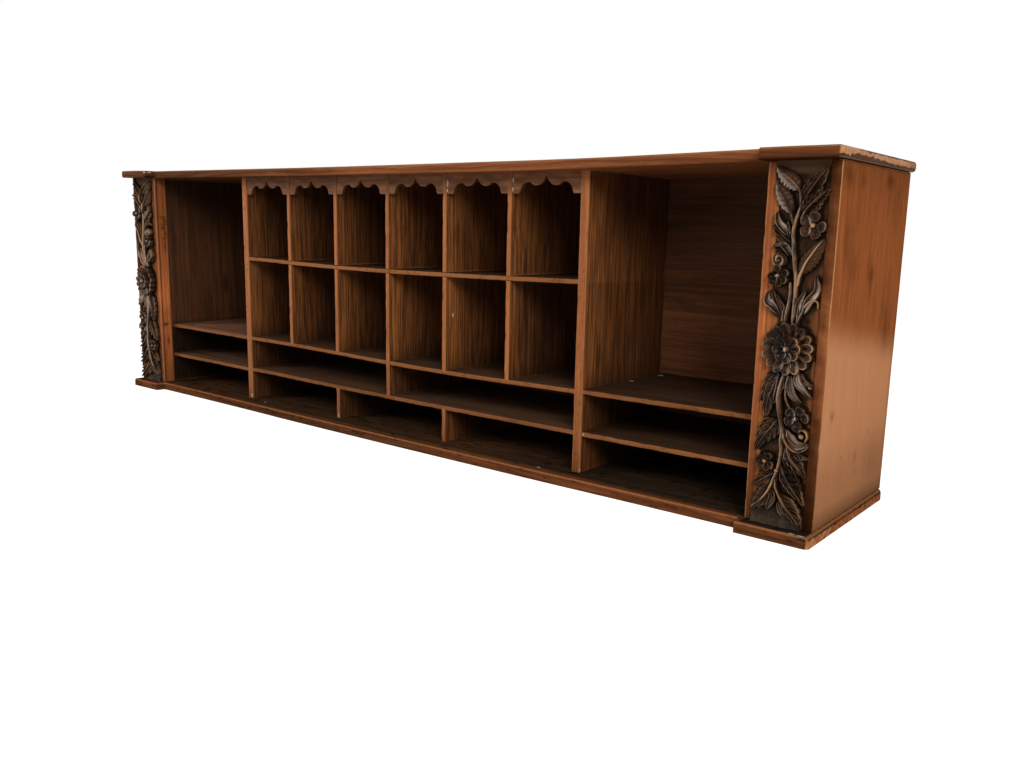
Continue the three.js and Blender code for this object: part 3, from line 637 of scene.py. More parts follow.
def stileTone(points):
    # brightest at half height; the left one is painted as lit along its inner face, its groove painted dark as shade
    x, y, z = points.T
    inner = np.abs(x) < stileLook["innerX"]
    inGroove = np.abs(y - stileBoard["grooveY"]) < stileBoard["quirkHalf"]
    left = np.interp(z, *stileLook["left"]) * np.where(inner, stileLook["leftInner"], stileLook["leftFront"])
    level = np.where(x < 0, left, stileLook["rightShare"] * np.interp(z, *stileLook["right"]))
    return marred(level, points, stileMarks, x < 0) * np.where(inGroove & inner, stileLook["groove"], 1.0)


def wallTone(points):
    # painted shade: darker towards the top and along the crease at the foot
    return np.interp(points[:, 2], [0.205, 0.212, 0.4, 0.5, 0.58, 0.63], [0.2, 1.05, 1.0, 0.8, 0.62, 0.42])


endBoard = {"rounding": 1.6 * mm, "step": (4 * mm, 6 * mm, 6 * mm), "wear": 0.8 * mm, "nicks": 10,
            "along": "z", "finish": "end", "slot": "end_pine", "toneSpread": 0.0, "tone": endTone,
            "arris": 2 * mm, "rubbing": endRubbing}
wallBoard = {"rounding": 1 * mm, "step": (8 * mm, 20 * mm, 20 * mm), "wear": 0.4 * mm, "nicks": 0,
             "along": "z", "finish": "wall", "slot": "inner_pine", "tone": wallTone}
stileBoard = {"rounding": 1.4 * mm, "step": (3 * mm, 3 * mm, 4 * mm), "wear": 1 * mm, "nicks": 8,
              "along": "z", "finish": "stile", "slot": "edge_pine", "toneSpread": 0.0, "tone": stileTone,
              "rubbing": lambda points: np.abs(points[:, 0]) < 1.031,
              "grooveY": -0.1705, "quirkHalf": 1.6 * mm, "quirkDepth": 1.6 * mm}


def stileQuirk(side, low, high):
    # a V groove down the inner face, a little behind the front arris
    faceX = low[0] if side > 0 else high[0]
    grooveY = stileBoard["grooveY"]
    stileBoard["extra"] = {1: grooveY + np.linspace(-1, 1, 5) * stileBoard["quirkHalf"]}

    def reshape(points):
        depth = 1 - np.abs(points[:, 1] - grooveY) / stileBoard["quirkHalf"]
        onFace = np.abs(points[:, 0] - faceX) < 1.5 * mm
        moved = points.copy()
        moved[:, 0] += side * stileBoard["quirkDepth"] * np.clip(depth, 0, 1) * onFace
        return moved
    return reshape


for side, word in ((-1, "left"), (1, "right")):
    seed = 200 + 10 * side
    addBoard(f"end_panel_{word}_worn", [f"end_panel_{word}"], [nodeBox(f"end_panel_{word}")], endBoard, seed)
    addBoard(f"side_wall_{word}_stained", [f"side_wall_{word}"], [nodeBox(f"side_wall_{word}")],
             wallBoard, seed + 1)
    low, high = nodeBox(f"stile_{word}")
    addBoard(f"stile_{word}_worn", [f"stile_{word}"], [(low, high)], stileBoard, seed + 2,
             stileQuirk(side, low, high))
print("ends")


# Dividers and shelves. Shelf fronts stand a hair behind the dividers that house them.
# Each tone table gives the level by depth, then by height. The darkening is painted shade: deep in the holes,
# in the low slots, in the upper row under the valances, and on the fronts between the valances.

pigeonholeDepths = ([-0.1334, -0.132, -0.129, -0.118, -0.11, -0.09, -0.06, -0.03, 0.0, 0.04, 0.08, 0.14, 0.2],
                    [1.0, 0.55, 0.7, 0.95, 0.85, 0.58, 0.42, 0.34, 0.34, 0.42, 0.6, 0.9, 1.0])
bayDepths = ([-0.1334, -0.132, -0.129, -0.12, -0.09, -0.06, -0.03, 0.0, 0.04, 0.2],
             [1.0, 0.7, 0.85, 1.0, 0.88, 0.6, 0.5, 0.44, 0.38, 0.38])
dividerHeights = ([0.02, 0.1, 0.2, 0.25, 0.45, 0.52, 0.62], [0.5, 0.5, 0.6, 1.0, 1.0, 0.85, 0.7])
frontHeights = ([0.02, 0.1, 0.2, 0.3], [0.6, 0.75, 0.9, 1.0])
betweenValances = ([0.612, 0.622, 0.632], [1.0, 0.75, 0.28])
shelfLevels = {"left_bay_shelf_upper": 5.0, "left_bay_shelf_lower": 2.2, "centre_shelf_lower": 1.9,
               "centre_shelf_middle": 1.25}
shelfFronts = {"centre_shelf_upper": 1.35}


def dividerTone(depths, shares=(1.0, 1.0), isMain=False):
    # shares below and above the upper shelf
    def tone(points):
        inside = ease(points[:, 1], *dividerBoard["frontEdge"])
        isLow = points[:, 2] < dividerBoard["upperShelfZ"]
        height = np.interp(points[:, 2], *dividerHeights) * np.where(isLow, *shares)
        front = np.interp(points[:, 2], *frontHeights)
        if not isMain:
            front = front * np.interp(points[:, 2], *betweenValances)
        return np.interp(points[:, 1], *depths) * (inside * height + (1 - inside) * front)
    return tone


def shelfTone(name):
    # the fronts keep their own level, a few shelves are paler on top
    def tone(points):
        inside = ease(points[:, 1], *shelfBoard["frontEdge"])
        front = shelfFronts.get(name, 1.0)
        return front + inside * (shelfLevels.get(name, 1.0) - front)
    return tone


dividerBoard = {"rounding": 1.5 * mm, "step": (6 * mm, 12 * mm, 7 * mm), "wear": 1 * mm, "nicks": 9,
                "along": "z", "finish": "divider", "slot": "edge_pine", "tone": dividerTone(pigeonholeDepths),
                "frontEdge": (-0.134, -0.127), "upperShelfZ": 0.44, "crossGap": 0.3 * mm}
shelfBoard = {"rounding": 1.6 * mm, "step": (7 * mm, 18 * mm, 5 * mm), "wear": 1 * mm, "nicks": 14,
              "along": "x", "finish": "shelf", "slot": "inner_pine", "setback": 0.4 * mm,
              "frontEdge": (-0.134, -0.129)}
mainTones = {"left": dividerTone(pigeonholeDepths, (0.75, 0.75), True),
             "right": dividerTone(bayDepths, (0.85, 1.1), True)}
dividerShares = {1: (0.7, 0.8), 2: (0.9, 0.82), 3: (1.25, 1.27), 4: (1.14, 1.12), 5: (0.62, 0.97)}
# how far each shelf has sunk, place and millimetres; the ends of the long case have stayed up
centrePlaces = [-0.595, -0.5, -0.4, -0.3, -0.2, -0.1, 0.0, 0.1, 0.2, 0.3, 0.4, 0.5, 0.595]
leftPlaces, rightPlaces = [-1.03, -0.8, -0.617], [0.617, 0.7, 0.8, 0.9, 0.98, 1.03]
shelfSag = {
    "centre_shelf_upper": (centrePlaces,
                           [0.3, 1.4, 3.8, 5.7, 7.2, 7.8, 7.9, 7.4, 6.5, 5.7, 4.4, 2.7, 1.2]),
    "centre_shelf_middle": (centrePlaces,
                            [-2.2, -2.3, -2.0, -0.6, 1.0, 3.2, 4.8, 5.7, 5.9, 5.5, 4.0, 2.0, 1.0]),
    "centre_shelf_lower": (centrePlaces,
                           [-1.5, -2.2, -1.2, -0.2, 0.3, 0.7, 0.9, 1.0, 0.7, 0.2, -0.5, -1.0, -0.9]),
    "left_bay_shelf_upper": (leftPlaces, [-3.9, -3.5, -1.8]),
    "left_bay_shelf_lower": (leftPlaces, [-2.2, -1.6, -0.4]),
    "right_bay_shelf_upper": (rightPlaces, [-0.3, -0.9, -2.1, -3.3, -4.0, -4.3]),
    "right_bay_shelf_lower": (rightPlaces, [-0.9, -1.3, -2.0, -2.7, -3.3, -3.6]),
}


def sunkShelf(name):
    def reshape(points):
        moved = points.copy()
        moved[:, 2] -= np.interp(points[:, 0], *shelfSag[name]) * mm
        return moved
    return reshape


def sunkDivider(points):
    # sinks with the shelf below and the one above, by its share of the way up between them
    names = ["centre_shelf_lower", "centre_shelf_middle", "centre_shelf_upper"]
    heights = [baseHigh[2]] + [sum(nodeBox(name))[2] / 2 for name in names] + [topLow[2]]
    drops = [np.interp(points[:, 0], *line) for line in [shelfSag[name] for name in names] + [topSag]]
    drops = [0 * drops[0]] + drops
    moved = points.copy()
    for low, high, under, over in zip(heights, heights[1:], drops, drops[1:]):
        moved[:, 2] -= (over - under) * np.clip((points[:, 2] - low) / (high - low), 0, 1) * mm
    return moved


for number, word in enumerate(("left", "right")):
    addBoard(f"main_divider_{word}_worn", [f"main_divider_{word}"], [nodeBox(f"main_divider_{word}")],
             {**dividerBoard, "tone": mainTones[word]}, 300 + number)

shelfLow, shelfHigh = nodeBox("centre_shelf_upper")
for column in range(1, 6):
    name = f"pigeonhole_divider_{column}"
    low, high = nodeBox(name)
    underShelf, overShelf = high.copy(), low.copy()
    underShelf[2] = shelfLow[2] - dividerBoard["crossGap"]      # halved round the upper shelf
    overShelf[2] = shelfHigh[2] + dividerBoard["crossGap"]
    board = {**dividerBoard, "tone": dividerTone(pigeonholeDepths, dividerShares[column])}
    addBoard(name + "_worn", [name], [(low, underShelf), (overShelf, high)], board, 310 + column, sunkDivider)
for number, name in enumerate(("upper_slot_divider_3", "bottom_slot_divider_2", "bottom_slot_divider_4")):
    addBoard(name + "_worn", [name], [nodeBox(name)], dividerBoard, 330 + number, sunkDivider)

shelfNames = [f"{side}_bay_shelf_{level}" for side in ("left", "right") for level in ("lower", "upper")]
shelfNames += [f"centre_shelf_{level}" for level in ("lower", "middle", "upper")]
for number, name in enumerate(shelfNames):
    low, high = nodeBox(name)
    low[1] += shelfBoard["setback"]
    addBoard(name + "_worn", [name], [(low, high)], {**shelfBoard, "tone": shelfTone(name)}, 340 + number,
             sunkShelf(name))
print("dividers and shelves")


# Back boards, laid level

backHeights = ([0.02, 0.36, 0.37, 0.4, 0.45, 0.5, 0.56, 0.62], [2.5, 2.5, 2.15, 2.0, 1.85, 1.6, 1.1, 1.0])


def backTone(points):
    # painted shade: lighter low down, darker towards the top
    return np.interp(points[:, 2], *backHeights)


backBoard = {"rounding": 0.8 * mm, "step": (25 * mm, 4 * mm, 20 * mm), "wear": 0.3 * mm, "nicks": 0,
             "along": "x", "finish": "back", "slot": "back_pine", "toneSpread": 0.0, "tone": backTone,
             "lap": 6.6 * mm, "tuck": 1.2 * mm, "sinkFrom": 0.45}


def sunkBack(points):
    # the head of the upper board goes down with the top
    moved = points.copy()
    moved[:, 2] -= topDrop(points[:, 0]) * ease(points[:, 2], backBoard["sinkFrom"], topLow[2])
    return moved


for number, word in enumerate(("lower", "upper")):
    low, high = nodeBox(f"back_board_{word}")
    if number:
        low[2] += backBoard["lap"]              # the lap is hidden behind the lower board, but for its foot
        high[2] += backBoard["tuck"]            # let into the top, so that no light comes through
    else:
        low[2] -= backBoard["tuck"]
    addBoard(f"back_board_{word}_stained", [f"back_board_{word}"], [(low, high)], backBoard, 400 + number,
             sunkBack)
print("back boards")


# Valances: a board whose lower edge follows the scalloped line

valance = {"rounding": 0.8 * mm, "step": (1.5 * mm, 3 * mm, 6 * mm), "wear": 0.4 * mm, "nicks": 3,
           "along": "x", "finish": "valance", "slot": "valance_pine",
           "legWidth": 20 * mm, "filletStep": 2 * mm, "filletHeight": 4 * mm,
           "archRise": 25 * mm, "lobeRise": 17 * mm, "cuspRise": 37.5 * mm, "archShare": 0.34, "lobeShare": 0.58,
           "cuspPower": 2.6, "depths": ([-0.1323, -0.1307, -0.129], [1.3, 0.45, 0.35]), "mottle": 0.25}


def scallop(across, half):
    # height of the lower edge above the feet: leg, fillet, hollow arch, lobe, then up to the cusp
    legX = half - valance["legWidth"]
    filletX = legX - valance["filletStep"]
    archX, lobeX = filletX * (1 - valance["archShare"]), filletX * (1 - valance["lobeShare"])
    x = np.abs(across)
    hollow = np.sqrt(np.clip(1 - ((x - archX) / (filletX - archX)) ** 2, 0, 1))
    arch = valance["filletHeight"] + (valance["archRise"] - valance["filletHeight"]) * hollow
    lobe = valance["archRise"] + (valance["lobeRise"] - valance["archRise"]) * ease(-x, -archX, -lobeX)
    climb = np.clip(1 - x / lobeX, 0, 1) ** valance["cuspPower"]
    cusp = valance["lobeRise"] + (valance["cuspRise"] - valance["lobeRise"]) * climb
    inside = np.where(x > archX, arch, np.where(x > lobeX, lobe, cusp))
    return np.where(x > legX, 0, np.where(x > filletX, valance["filletHeight"], inside))


def valanceTone(points):
    # mottled face, dark in the cut edges
    face = np.interp(points[:, 1], *valance["depths"])
    return face * (1 + valance["mottle"] * ripple(points * [1, 1, 2], 0.05, 88))


valance["tone"] = valanceTone
for column in range(1, 7):
    low, high = nodeBox(f"valance_{column}")
    middleX, half = (low[0] + high[0]) / 2, (high[0] - low[0]) / 2
    legX = half - valance["legWidth"]
    filletX = legX - valance["filletStep"]
    kinks = np.array([legX - 0.1 * mm, legX + 0.1 * mm, filletX - 0.1 * mm, filletX + 0.1 * mm, 0])
    valance["extra"] = {0: middleX + np.concatenate([kinks, -kinks])}

    def scalloped(points):
        up = (points[:, 2] - low[2]) / (high[2] - low[2])
        moved = points.copy()
        moved[:, 2] += scallop(points[:, 0] - middleX, half) * (1 - up)
        return moved

    addBoard(f"valance_{column}_cut", [f"valance_{column}"], [(low, high)], valance, 500 + column, scalloped)
print("valances")


# Carved pilasters. The layout is drawn in millimetres on the right pilaster: across from the middle
# of the board, then up from the floor. The left pilaster is its mirror image.

carving = {"middleX": 1.0915, "groundY": -0.175, "width": 96.4, "thickness": 16.0, "foot": 22.3, "head": 678.7,
           "floor": -1.5, "step": 3.0, "gouge": 0.35, "darkFoot": 90.0, "darkHead": 630.0,
           "slopeTop": 46.0, "slopeOut": 9.0, "marginRise": 1.8, "leftRise": 1.5, "leftRub": 1.5, "leftSoft": 0.5,
           "holes": [((5, 652), (8, 10)), ((28, 402), (10, 8)), ((14, 536), (7, 12)), ((-2, 655), (10, 6))]}
rosette = {"at": (0.5, 352), "radius": 48, "outer": 15, "outerRoot": 15, "outerWidth": 17.5, "outerRise": (8, 17.5),
           "inner": 8, "innerRoot": 3, "innerReach": 26, "innerWidth": 18, "innerRise": (13, 21),
           "dish": 4.6, "bead": 6.2, "beadRise": 21.5, "flutes": 3, "fluteDepth": 0.8, "rimRub": 0.95}
# centre, radius, direction of each petal in degrees
flowers = [((28, 568), 24, (148, 219, 288, 352, 84)), ((-28, 480), 20, (188, 232, 276, 324, 22, 100)),
           ((26, 229), 23, (205, 277, 8, 70, 144)), ((-27, 142), 18.5, (112, 55, 178, 232, 282, 330))]
flowerLook = {"root": 0.2, "width": 0.8, "rise": (8.5, 15.5), "dish": 4.6, "bead": 0.2, "beadRise": 14.5,
              "flutes": 1, "fluteDepth": 0.6, "rimRub": 0.5}
# crests are rubbed pale; painted shade darkens the low places between them
crests = {"spread": 3.6, "reach": 5.0, "start": 0.5, "rub": 0.22, "grimeAndShade": 0.85}
bud = {"at": (-28, 508), "radius": 13.5, "rise": 13, "turns": 1.6}
# path, width at root, middle and tip, height, how far its crest is rubbed (once or from root to tip)
stems = [
    ([(3, 603), (0, 590), (-5, 572), (-7, 556), (-5, 538), (-2, 515), (1, 495), (4, 480), (5, 462), (5, 440),
      (3, 396)], (4.5, 8, 8), 11, 0.45),
    ([(3, 597), (4, 611), (0, 626), (-9, 638), (-22, 649), (-46, 668)], (5, 4, 2), 14, 0.3),
    ([(-6, 562), (-9, 576), (-16, 594), (-26, 609), (-36, 625), (-44, 640)], (4.6, 3.8, 2), 13, 0.25),
    ([(5, 597), (8, 609), (15, 622), (25, 637), (45, 664)], (4, 3, 2), 10, 0.5),
    ([(4, 578), (10, 588), (19, 601), (31, 612), (49, 628)], (3.6, 2.8, 2), 11, 0.4),
    ([(7, 462), (11, 480), (15, 490), (20, 503), (28, 516), (38, 531), (48, 545)], (6.5, 4.2, 2.4), 14, (0.9, 0.9, 0.5)),
    ([(-6, 470), (-4, 455), (-4, 440), (-7, 422), (-11, 396)], (5, 6.5, 6), 11, 0.2),
    ([(-16, 396), (-15, 409), (-14, 424)], (5, 4.5, 2), 9, 0.3),
    ([(13, 396), (12, 410), (12, 426)], (5, 4.5, 2), 9, 0.4),
    ([(10, 396), (19, 414), (24, 428), (32, 437), (41, 440), (47, 436), (47, 426)], (5, 4, 3), 11, 0.6),
    ([(-4, 306), (-8, 288), (-11, 266), (-9, 245), (-5, 228), (-1, 213), (1, 198), (0, 183), (2, 165), (1, 148),
      (-3, 128), (-8, 112), (-13, 98), (-19, 84), (-32, 66), (-48, 51)], (9.5, 7, 3), 13, (0.15, 0.2, 0.3, 0.8, 0.95)),
    ([(-6, 112), (-4, 97), (1, 86), (9, 72), (20, 59), (31, 49), (42, 38), (48, 27)], (3.8, 4.2, 3), 12, 0.4),
    ([(3, 304), (1, 282), (2, 262), (10, 247), (20, 236)], (4, 3, 3), 9, 0.4),
    ([(-14, 306), (-17, 282), (-21, 256)], (5, 3.5, 2), 10, 0.35),
    ([(2, 204), (6, 189), (14, 177), (25, 170), (36, 169), (45, 174), (52, 182)], (4.4, 4.8, 3), 14, 0.35),
    ([(9, 202), (13, 191), (21, 183), (31, 179), (44, 182)], (3, 3.2, 2), 12, 0.3),
    ([(31, 203), (38, 210), (46, 207), (49, 197), (44, 188)], (4, 5, 3), 15, 0.6),
    ([(6, 132), (12, 121), (20, 109), (30, 96), (41, 82)], (3.8, 3.6, 2), 12, 0.3),
    ([(15, 169), (20, 155), (28, 146), (38, 138), (50, 123)], (4.4, 4.4, 2.5), 12, 0.5),
    ([(34, 113), (42, 105), (46, 93), (52, 75)], (2.6, 3.2, 2), 11, 0.7),
    ([(26, 78), (37, 65), (43, 54), (47, 40)], (2.6, 3.2, 2), 11, 0.6),
]
# centre, radius, height
beads = [((47, 287), 3.4, 14), ((38, 198), 5.0, 15), ((-3, 128), 3.8, 15), ((-14, 131), 3.0, 12)]
# path, half widths left and right of the way it grows, lobes on each side, height, tilt of its blade,
# share of painted highlight; a leaf without lobes is one plain scoop
leaves = [
    ([(6, 604), (15, 622), (28, 642), (47, 667)], (12, 17), 5, 11, -0.1, 0.1),
    ([(8, 588), (21, 603), (34, 616), (53, 630)], (12, 15), 5, 12, -0.1, 0.25),
    ([(-13, 549), (-24, 562), (-35, 574), (-40, 592)], (6.5, 7), 0, 13, 0.2, 1.0),
    ([(-11, 546), (-16, 560), (-18, 576)], (3.6, 3.4), 0, 12, 0.0, 0.9),
    ([(-10, 537), (-24, 549), (-45, 568)], (9, 7), 3, 8, 0.2, 0.3),
    ([(-8, 514), (-14, 527), (-26, 536), (-46, 530)], (7, 6), 0, 13, 0.3, 0.5),
    ([(21, 414), (29, 437), (43, 458), (40, 484)], (6, 9), 0, 14, 0.15, 1.0),
    ([(10, 408), (13, 433), (23, 457)], (5, 6.5), 0, 12, 0.1, 1.0),
    ([(-21, 412), (-33, 427), (-45, 436), (-44, 453)], (8, 8), 0, 13, 0.3, 1.0),
    ([(-18, 410), (-23, 428), (-32, 440), (-37, 455)], (4.5, 5), 0, 13, 0.2, 0.7),
    ([(-12, 408), (-16, 424), (-24, 436), (-31, 447)], (4, 4.5), 0, 12, 0.1, 0.6),
    ([(-24, 414), (-34, 421), (-47, 424)], (5, 5), 0, 7, 0.0, 0.3),
    ([(-14, 308), (-22, 283), (-30, 258), (-33, 225)], (14, 17), 4, 10, 0.1, 0.2),
    ([(7, 306), (9, 281), (16, 267), (31, 257)], (8, 7), 0, 10, 0.0, 0.4),
    ([(18, 314), (22, 294), (33, 282), (52, 266)], (9, 7), 0, 15, 0.25, 1.0),
    ([(26, 311), (31, 297), (42, 291), (52, 290)], (6, 5), 0, 12, 0.0, 0.7),
    ([(-11, 221), (-22, 204), (-34, 187), (-48, 160)], (15, 17), 4, 10, 0.1, 0.15),
    ([(2, 206), (11, 188), (28, 178), (52, 183)], (15, 10), 0, 11, 0.0, 0.5),
    ([(11, 177), (20, 154), (33, 140), (51, 122)], (17, 7), 4, 12, 0.2, 0.8),
    ([(22, 169), (34, 160), (52, 157)], (7, 6), 0, 11, 0.0, 0.6),
    ([(5, 180), (8, 156), (16, 132)], (6, 6), 0, 10, 0.0, 0.2),
    ([(12, 176), (14, 156), (22, 137)], (4, 4), 0, 11, 0.0, 0.4),
    ([(3, 138), (17, 113), (33, 93), (52, 73)], (19, 8), 5, 12, 0.2, 0.3),
    ([(4, 84), (19, 61), (34, 47), (50, 25)], (19, 8), 5, 12, 0.2, 0.3),
    ([(-6, 124), (-22, 113), (-49, 92)], (14, 14), 4, 9, 0.0, 0.2),
    ([(-12, 98), (-26, 74), (-49, 48)], (15, 18), 5, 11, 0.15, 0.25),
    ([(-10, 88), (-11, 68), (-20, 48)], (7, 6.5), 0, 11, 0.0, 0.35),
    ([(3, 70), (8, 54), (17, 40)], (6, 6), 0, 9, 0.0, 0.5),
]
# smooth blades with a scalloped rim: path, half widths, scallops, height, share of painted highlight
blades = [
    ([(-3, 628), (-14, 643), (-29, 655), (-47, 669)], (19, 12), 7, 10.5, 0.6),
    ([(-13, 589), (-25, 607), (-35, 623), (-45, 641)], (14, 15), 6, 10.5, 0.65),
    ([(10, 484), (21, 505), (33, 523), (50, 548)], (16, 17), 7, 11, 0.0),
]
# notch depth, roof's fall, rim rubbing, sweep and depth of the veins, painted shade in their valleys
bladeLook = {"notch": 0.2, "fall": 0.5, "rub": 0.8, "sweep": 0.22, "pleat": 0.06, "grimeAndShade": 0.55}
# share of painted highlight, and for each kind of piece the way its lit side looks and the cosines it starts and ends
# at
highlight = {"rosette": 0.95, "rosetteTurn": 225, "flower": 1.0, "flowerTurn": 185, "stem": 1.0, "bead": 0.9,
          "petalWay": ((-0.79, 0.1, 0.6), 0.6, 0.97), "stemWay": ((-0.6, 0.2, 0.77), 0.86, 0.99),
          "scoopWay": ((-0.45, 0.05, 0.89), 0.35, 0.9), "bladeWay": ((-0.62, -0.42, 0.66), 0.62, 0.98),
          "cupWay": ((-0.66, -0.1, 0.74), 0.58, 0.93),
          "left": {"cup": 0.7, "petal": 0.6, "stem": 1.0, "scoop": 0.9, "blade": 0.1}}
lobeLook = {"first": 0.02, "last": 0.74, "reach": 0.36, "width": 0.4, "tilt": 0.22, "bladeShare": 0.9, "bladeRise": 0.7,
            "rib": (3.4, 3.0, 1.6), "ribRise": 1.05, "ribRub": 0.25}


def smoothPath(points, count):
    # Catmull-Rom curve through the points: position and unit direction at even steps
    knots = np.array(points, float)
    padded = np.concatenate([[2 * knots[0] - knots[1]], knots, [2 * knots[-1] - knots[-2]]])
    place = np.linspace(0, len(knots) - 1, count)
    index = np.minimum(place.astype(int), len(knots) - 2)
    t = (place - index)[:, None]
    a, b, c, d = (padded[index + k] for k in range(4))
    line = b + 0.5 * t * (c - a + t * (2 * a - 5 * b + 4 * c - d + t * (3 * (b - c) + d - a)))
    way = np.gradient(line, axis=0)
    return line, way / np.linalg.norm(way, axis=1)[:, None]


def ringSolid(rings, ridge):
    # closes a stack of rings (n, m, 3) round the side and over a pole at each end, faces outwards
    n, m = rings.shape[:2]
    poles = np.stack([rings[0].mean(0), rings[-1].mean(0)])
    points = np.concatenate([rings.reshape(-1, 3), poles])
    marks = np.concatenate([ridge.ravel(), [ridge[0].mean(), ridge[-1].mean()]])
    i, j = (part.ravel() for part in np.meshgrid(np.arange(n - 1), np.arange(m), indexing="ij"))
    k = (j + 1) % m
    quads = np.stack([i * m + j, i * m + k, (i + 1) * m + k, (i + 1) * m + j], -1)
    j = np.arange(m)
    k = (j + 1) % m
    first = np.stack([np.full(m, n * m), k, j], -1)
    last = np.stack([np.full(m, n * m + 1), (n - 1) * m + j, (n - 1) * m + k], -1)
    a, b, c, d = (points[quads[:, corner]] for corner in range(4))
    volume = (np.cross(a, b) * c).sum() + (np.cross(a, c) * d).sum()
    if volume < 0:
        quads, first, last = quads[:, ::-1], first[:, ::-1], last[:, ::-1]
    return points, quads, np.concatenate([first, last]), marks


def stemRings(path, widths, height, rubbing):
    # half-round section carried along the path; it narrows at both ends
    count, around = 9 * len(path), 14
    line, way = smoothPath(path, count)
    s = np.linspace(0, 1, count)
    width = np.interp(s, [0, 0.5, 1], widths) * np.sqrt(np.clip(1 - (2 * s - 1) ** 24, 0.004, 1))
    turn = np.linspace(0, 2 * np.pi, around, endpoint=False)
    side = np.stack([-way[:, 1], way[:, 0]], -1)
    rings = np.empty((count, around, 3))
    rings[..., :2] = line[:, None] + side[:, None] * (0.5 * width[:, None] * np.cos(turn))[..., None]
    crest = height * np.interp(s, [0, 0.15, 0.85, 1], [0.7, 1, 1, 0.75])
    body = np.minimum(0.6 * width, crest)
    rings[..., 2] = np.where(np.sin(turn) > 0, (crest - body)[:, None] + body[:, None] * np.sin(turn),
                             carving["floor"])
    rubs = np.atleast_1d(rubbing)
    rub = np.interp(s, np.linspace(0, 1, len(rubs)), rubs)[:, None]
    return rings, rub * np.clip(np.sin(turn), 0, 1) ** 2


def leafRings(path, halves, height, tilt, isBlunt=False):
    # Sections across the midrib: a scoop, high at its rolled rims. A blunt leaf widens towards a round end.
    count, across = 26, 17
    line, way = smoothPath(path, count)
    s = np.clip(np.linspace(0, 1, count), 0.002, 0.998)[:, None]
    t = np.linspace(-1, 1, across)[None, :]
    u = np.abs(t)
    side = np.stack([-way[:, 1], way[:, 0]], -1)
    if isBlunt:
        swell = (0.4 + 0.6 * np.clip(s / 0.62, 0, 1)) * np.sqrt(1 - np.clip((s - 0.62) / 0.38, 0, 1) ** 2)
        body = 0.7 + 0.3 * s ** 2
    else:
        swell = np.sin(np.pi * s ** 0.75) ** 0.7
        body = np.clip(4 * swell, 0, 1) * (0.72 + 0.2 * np.sin(np.pi * s) + 0.18 * s ** 6)
    half = np.where(t > 0, halves[0], halves[1]) * swell
    rings = np.empty((count, across + 2, 3))
    rings[:, :across, :2] = line[:, None] + side[:, None] * (half * t)[..., None]
    section = 0.5 + 0.5 * np.clip(u * 1.12, 0, 1) ** 2 - 0.4 * u ** 12
    rings[:, :across, 2] = height * body * (section + 0.8 * tilt * t)
    rings[:, across, :2] = rings[:, across - 1, :2]
    rings[:, across + 1, :2] = rings[:, 0, :2]
    rings[:, across:, 2] = carving["floor"]
    # rolled rims are rubbed; the middle of the scoop is painted dark as shade
    ridge = (0.25 + 0.55 * s ** 2) * np.exp(-((u - 0.88) / 0.09) ** 2) - 0.7 * np.exp(-(u / 0.3) ** 2)
    return rings, np.concatenate([ridge, np.zeros((count, 2))], axis=1)


def lobedLeaf(path, halves, lobes, height, tilt):
    # Blunt scoops spring from the midrib one after another and sweep outwards and towards the tip,
    # over a low plain blade. Their reach sideways follows a sine from root to tip.
    look, fine = lobeLook, 60
    line, way = smoothPath(path, fine)
    length = np.linalg.norm(np.diff(line, axis=0), axis=1).sum()
    across = np.stack([-way[:, 1], way[:, 0]], -1)
    width = look["width"] * length / lobes
    made = [leafRings(path, [look["bladeShare"] * half for half in halves], look["bladeRise"] * height, 0.0)]
    for side, half in ((1, halves[0]), (-1, halves[1])):
        for number in range(lobes):
            start = look["first"] + (look["last"] - look["first"]) * number / lobes
            place = np.minimum(start + look["reach"] * np.array([0, 0.3, 0.65, 1]), 0.98)
            reach = np.sin(np.pi * place[-1] ** 0.8) ** 0.8
            index = np.round(place * (fine - 1)).astype(int)
            out = side * half * reach * np.array([0, 0.38, 0.78, 1])
            scoop = 0.6 * width + 0.4 * width * reach
            made.append(leafRings(line[index] + across[index] * out[:, None], (scoop, scoop),
                                  height * (1 + tilt * side), side * look["tilt"], True))
    made.append(leafRings(line[[34, 42, 50, 59]], (0.8 * width, 0.8 * width), height, 0.0, True))
    made.append(stemRings(path, look["rib"], look["ribRise"] * height, look["ribRub"]))
    return made


def bladeRings(path, halves, teeth, height):
    # Sections fall like a roof from the midrib to the rim, whose reach drops at each notch:
    # one less a share of (1 - |sine|) squared. Cosine veins sweep outwards from the midrib.
    count, across = 12 * teeth, 15
    line, way = smoothPath(path, count)
    s = np.clip(np.linspace(0, 1, count), 0.002, 0.998)[:, None]
    t = np.linspace(-1, 1, across)[None, :]
    u = np.abs(t)
    side = np.stack([-way[:, 1], way[:, 0]], -1)
    swell = np.sin(np.pi * s ** 0.85) ** 0.65
    gap = (1 - np.abs(np.sin(np.pi * teeth * s))) ** 2
    half = np.where(t > 0, halves[0], halves[1]) * swell * (1 - bladeLook["notch"] * gap)
    rings = np.empty((count, across + 2, 3))
    rings[:, :across, :2] = line[:, None] + side[:, None] * (half * t)[..., None]
    section = 1 - bladeLook["fall"] * u + 0.12 * np.sin(np.pi * u) - 0.2 * u ** 12
    vein = np.cos(2 * np.pi * teeth * (s - bladeLook["sweep"] * u))
    section = section + bladeLook["pleat"] * vein * np.sin(np.pi * u)
    rings[:, :across, 2] = height * np.clip(3 * swell, 0, 1) * section
    rings[:, across, :2] = rings[:, across - 1, :2]
    rings[:, across + 1, :2] = rings[:, 0, :2]
    rings[:, across:, 2] = carving["floor"]
    ridge = bladeLook["rub"] * np.exp(-((u - 0.94) / 0.07) ** 2) * (0.25 + 0.75 * gap)
    # the valleys between the veins are painted dark as shade
    ridge = ridge - bladeLook["grimeAndShade"] * np.clip(-vein, 0, 1) * np.sin(np.pi * np.clip(u * 1.15, 0, 1))
    return rings, np.concatenate([ridge, np.zeros((count, 2))], axis=1)


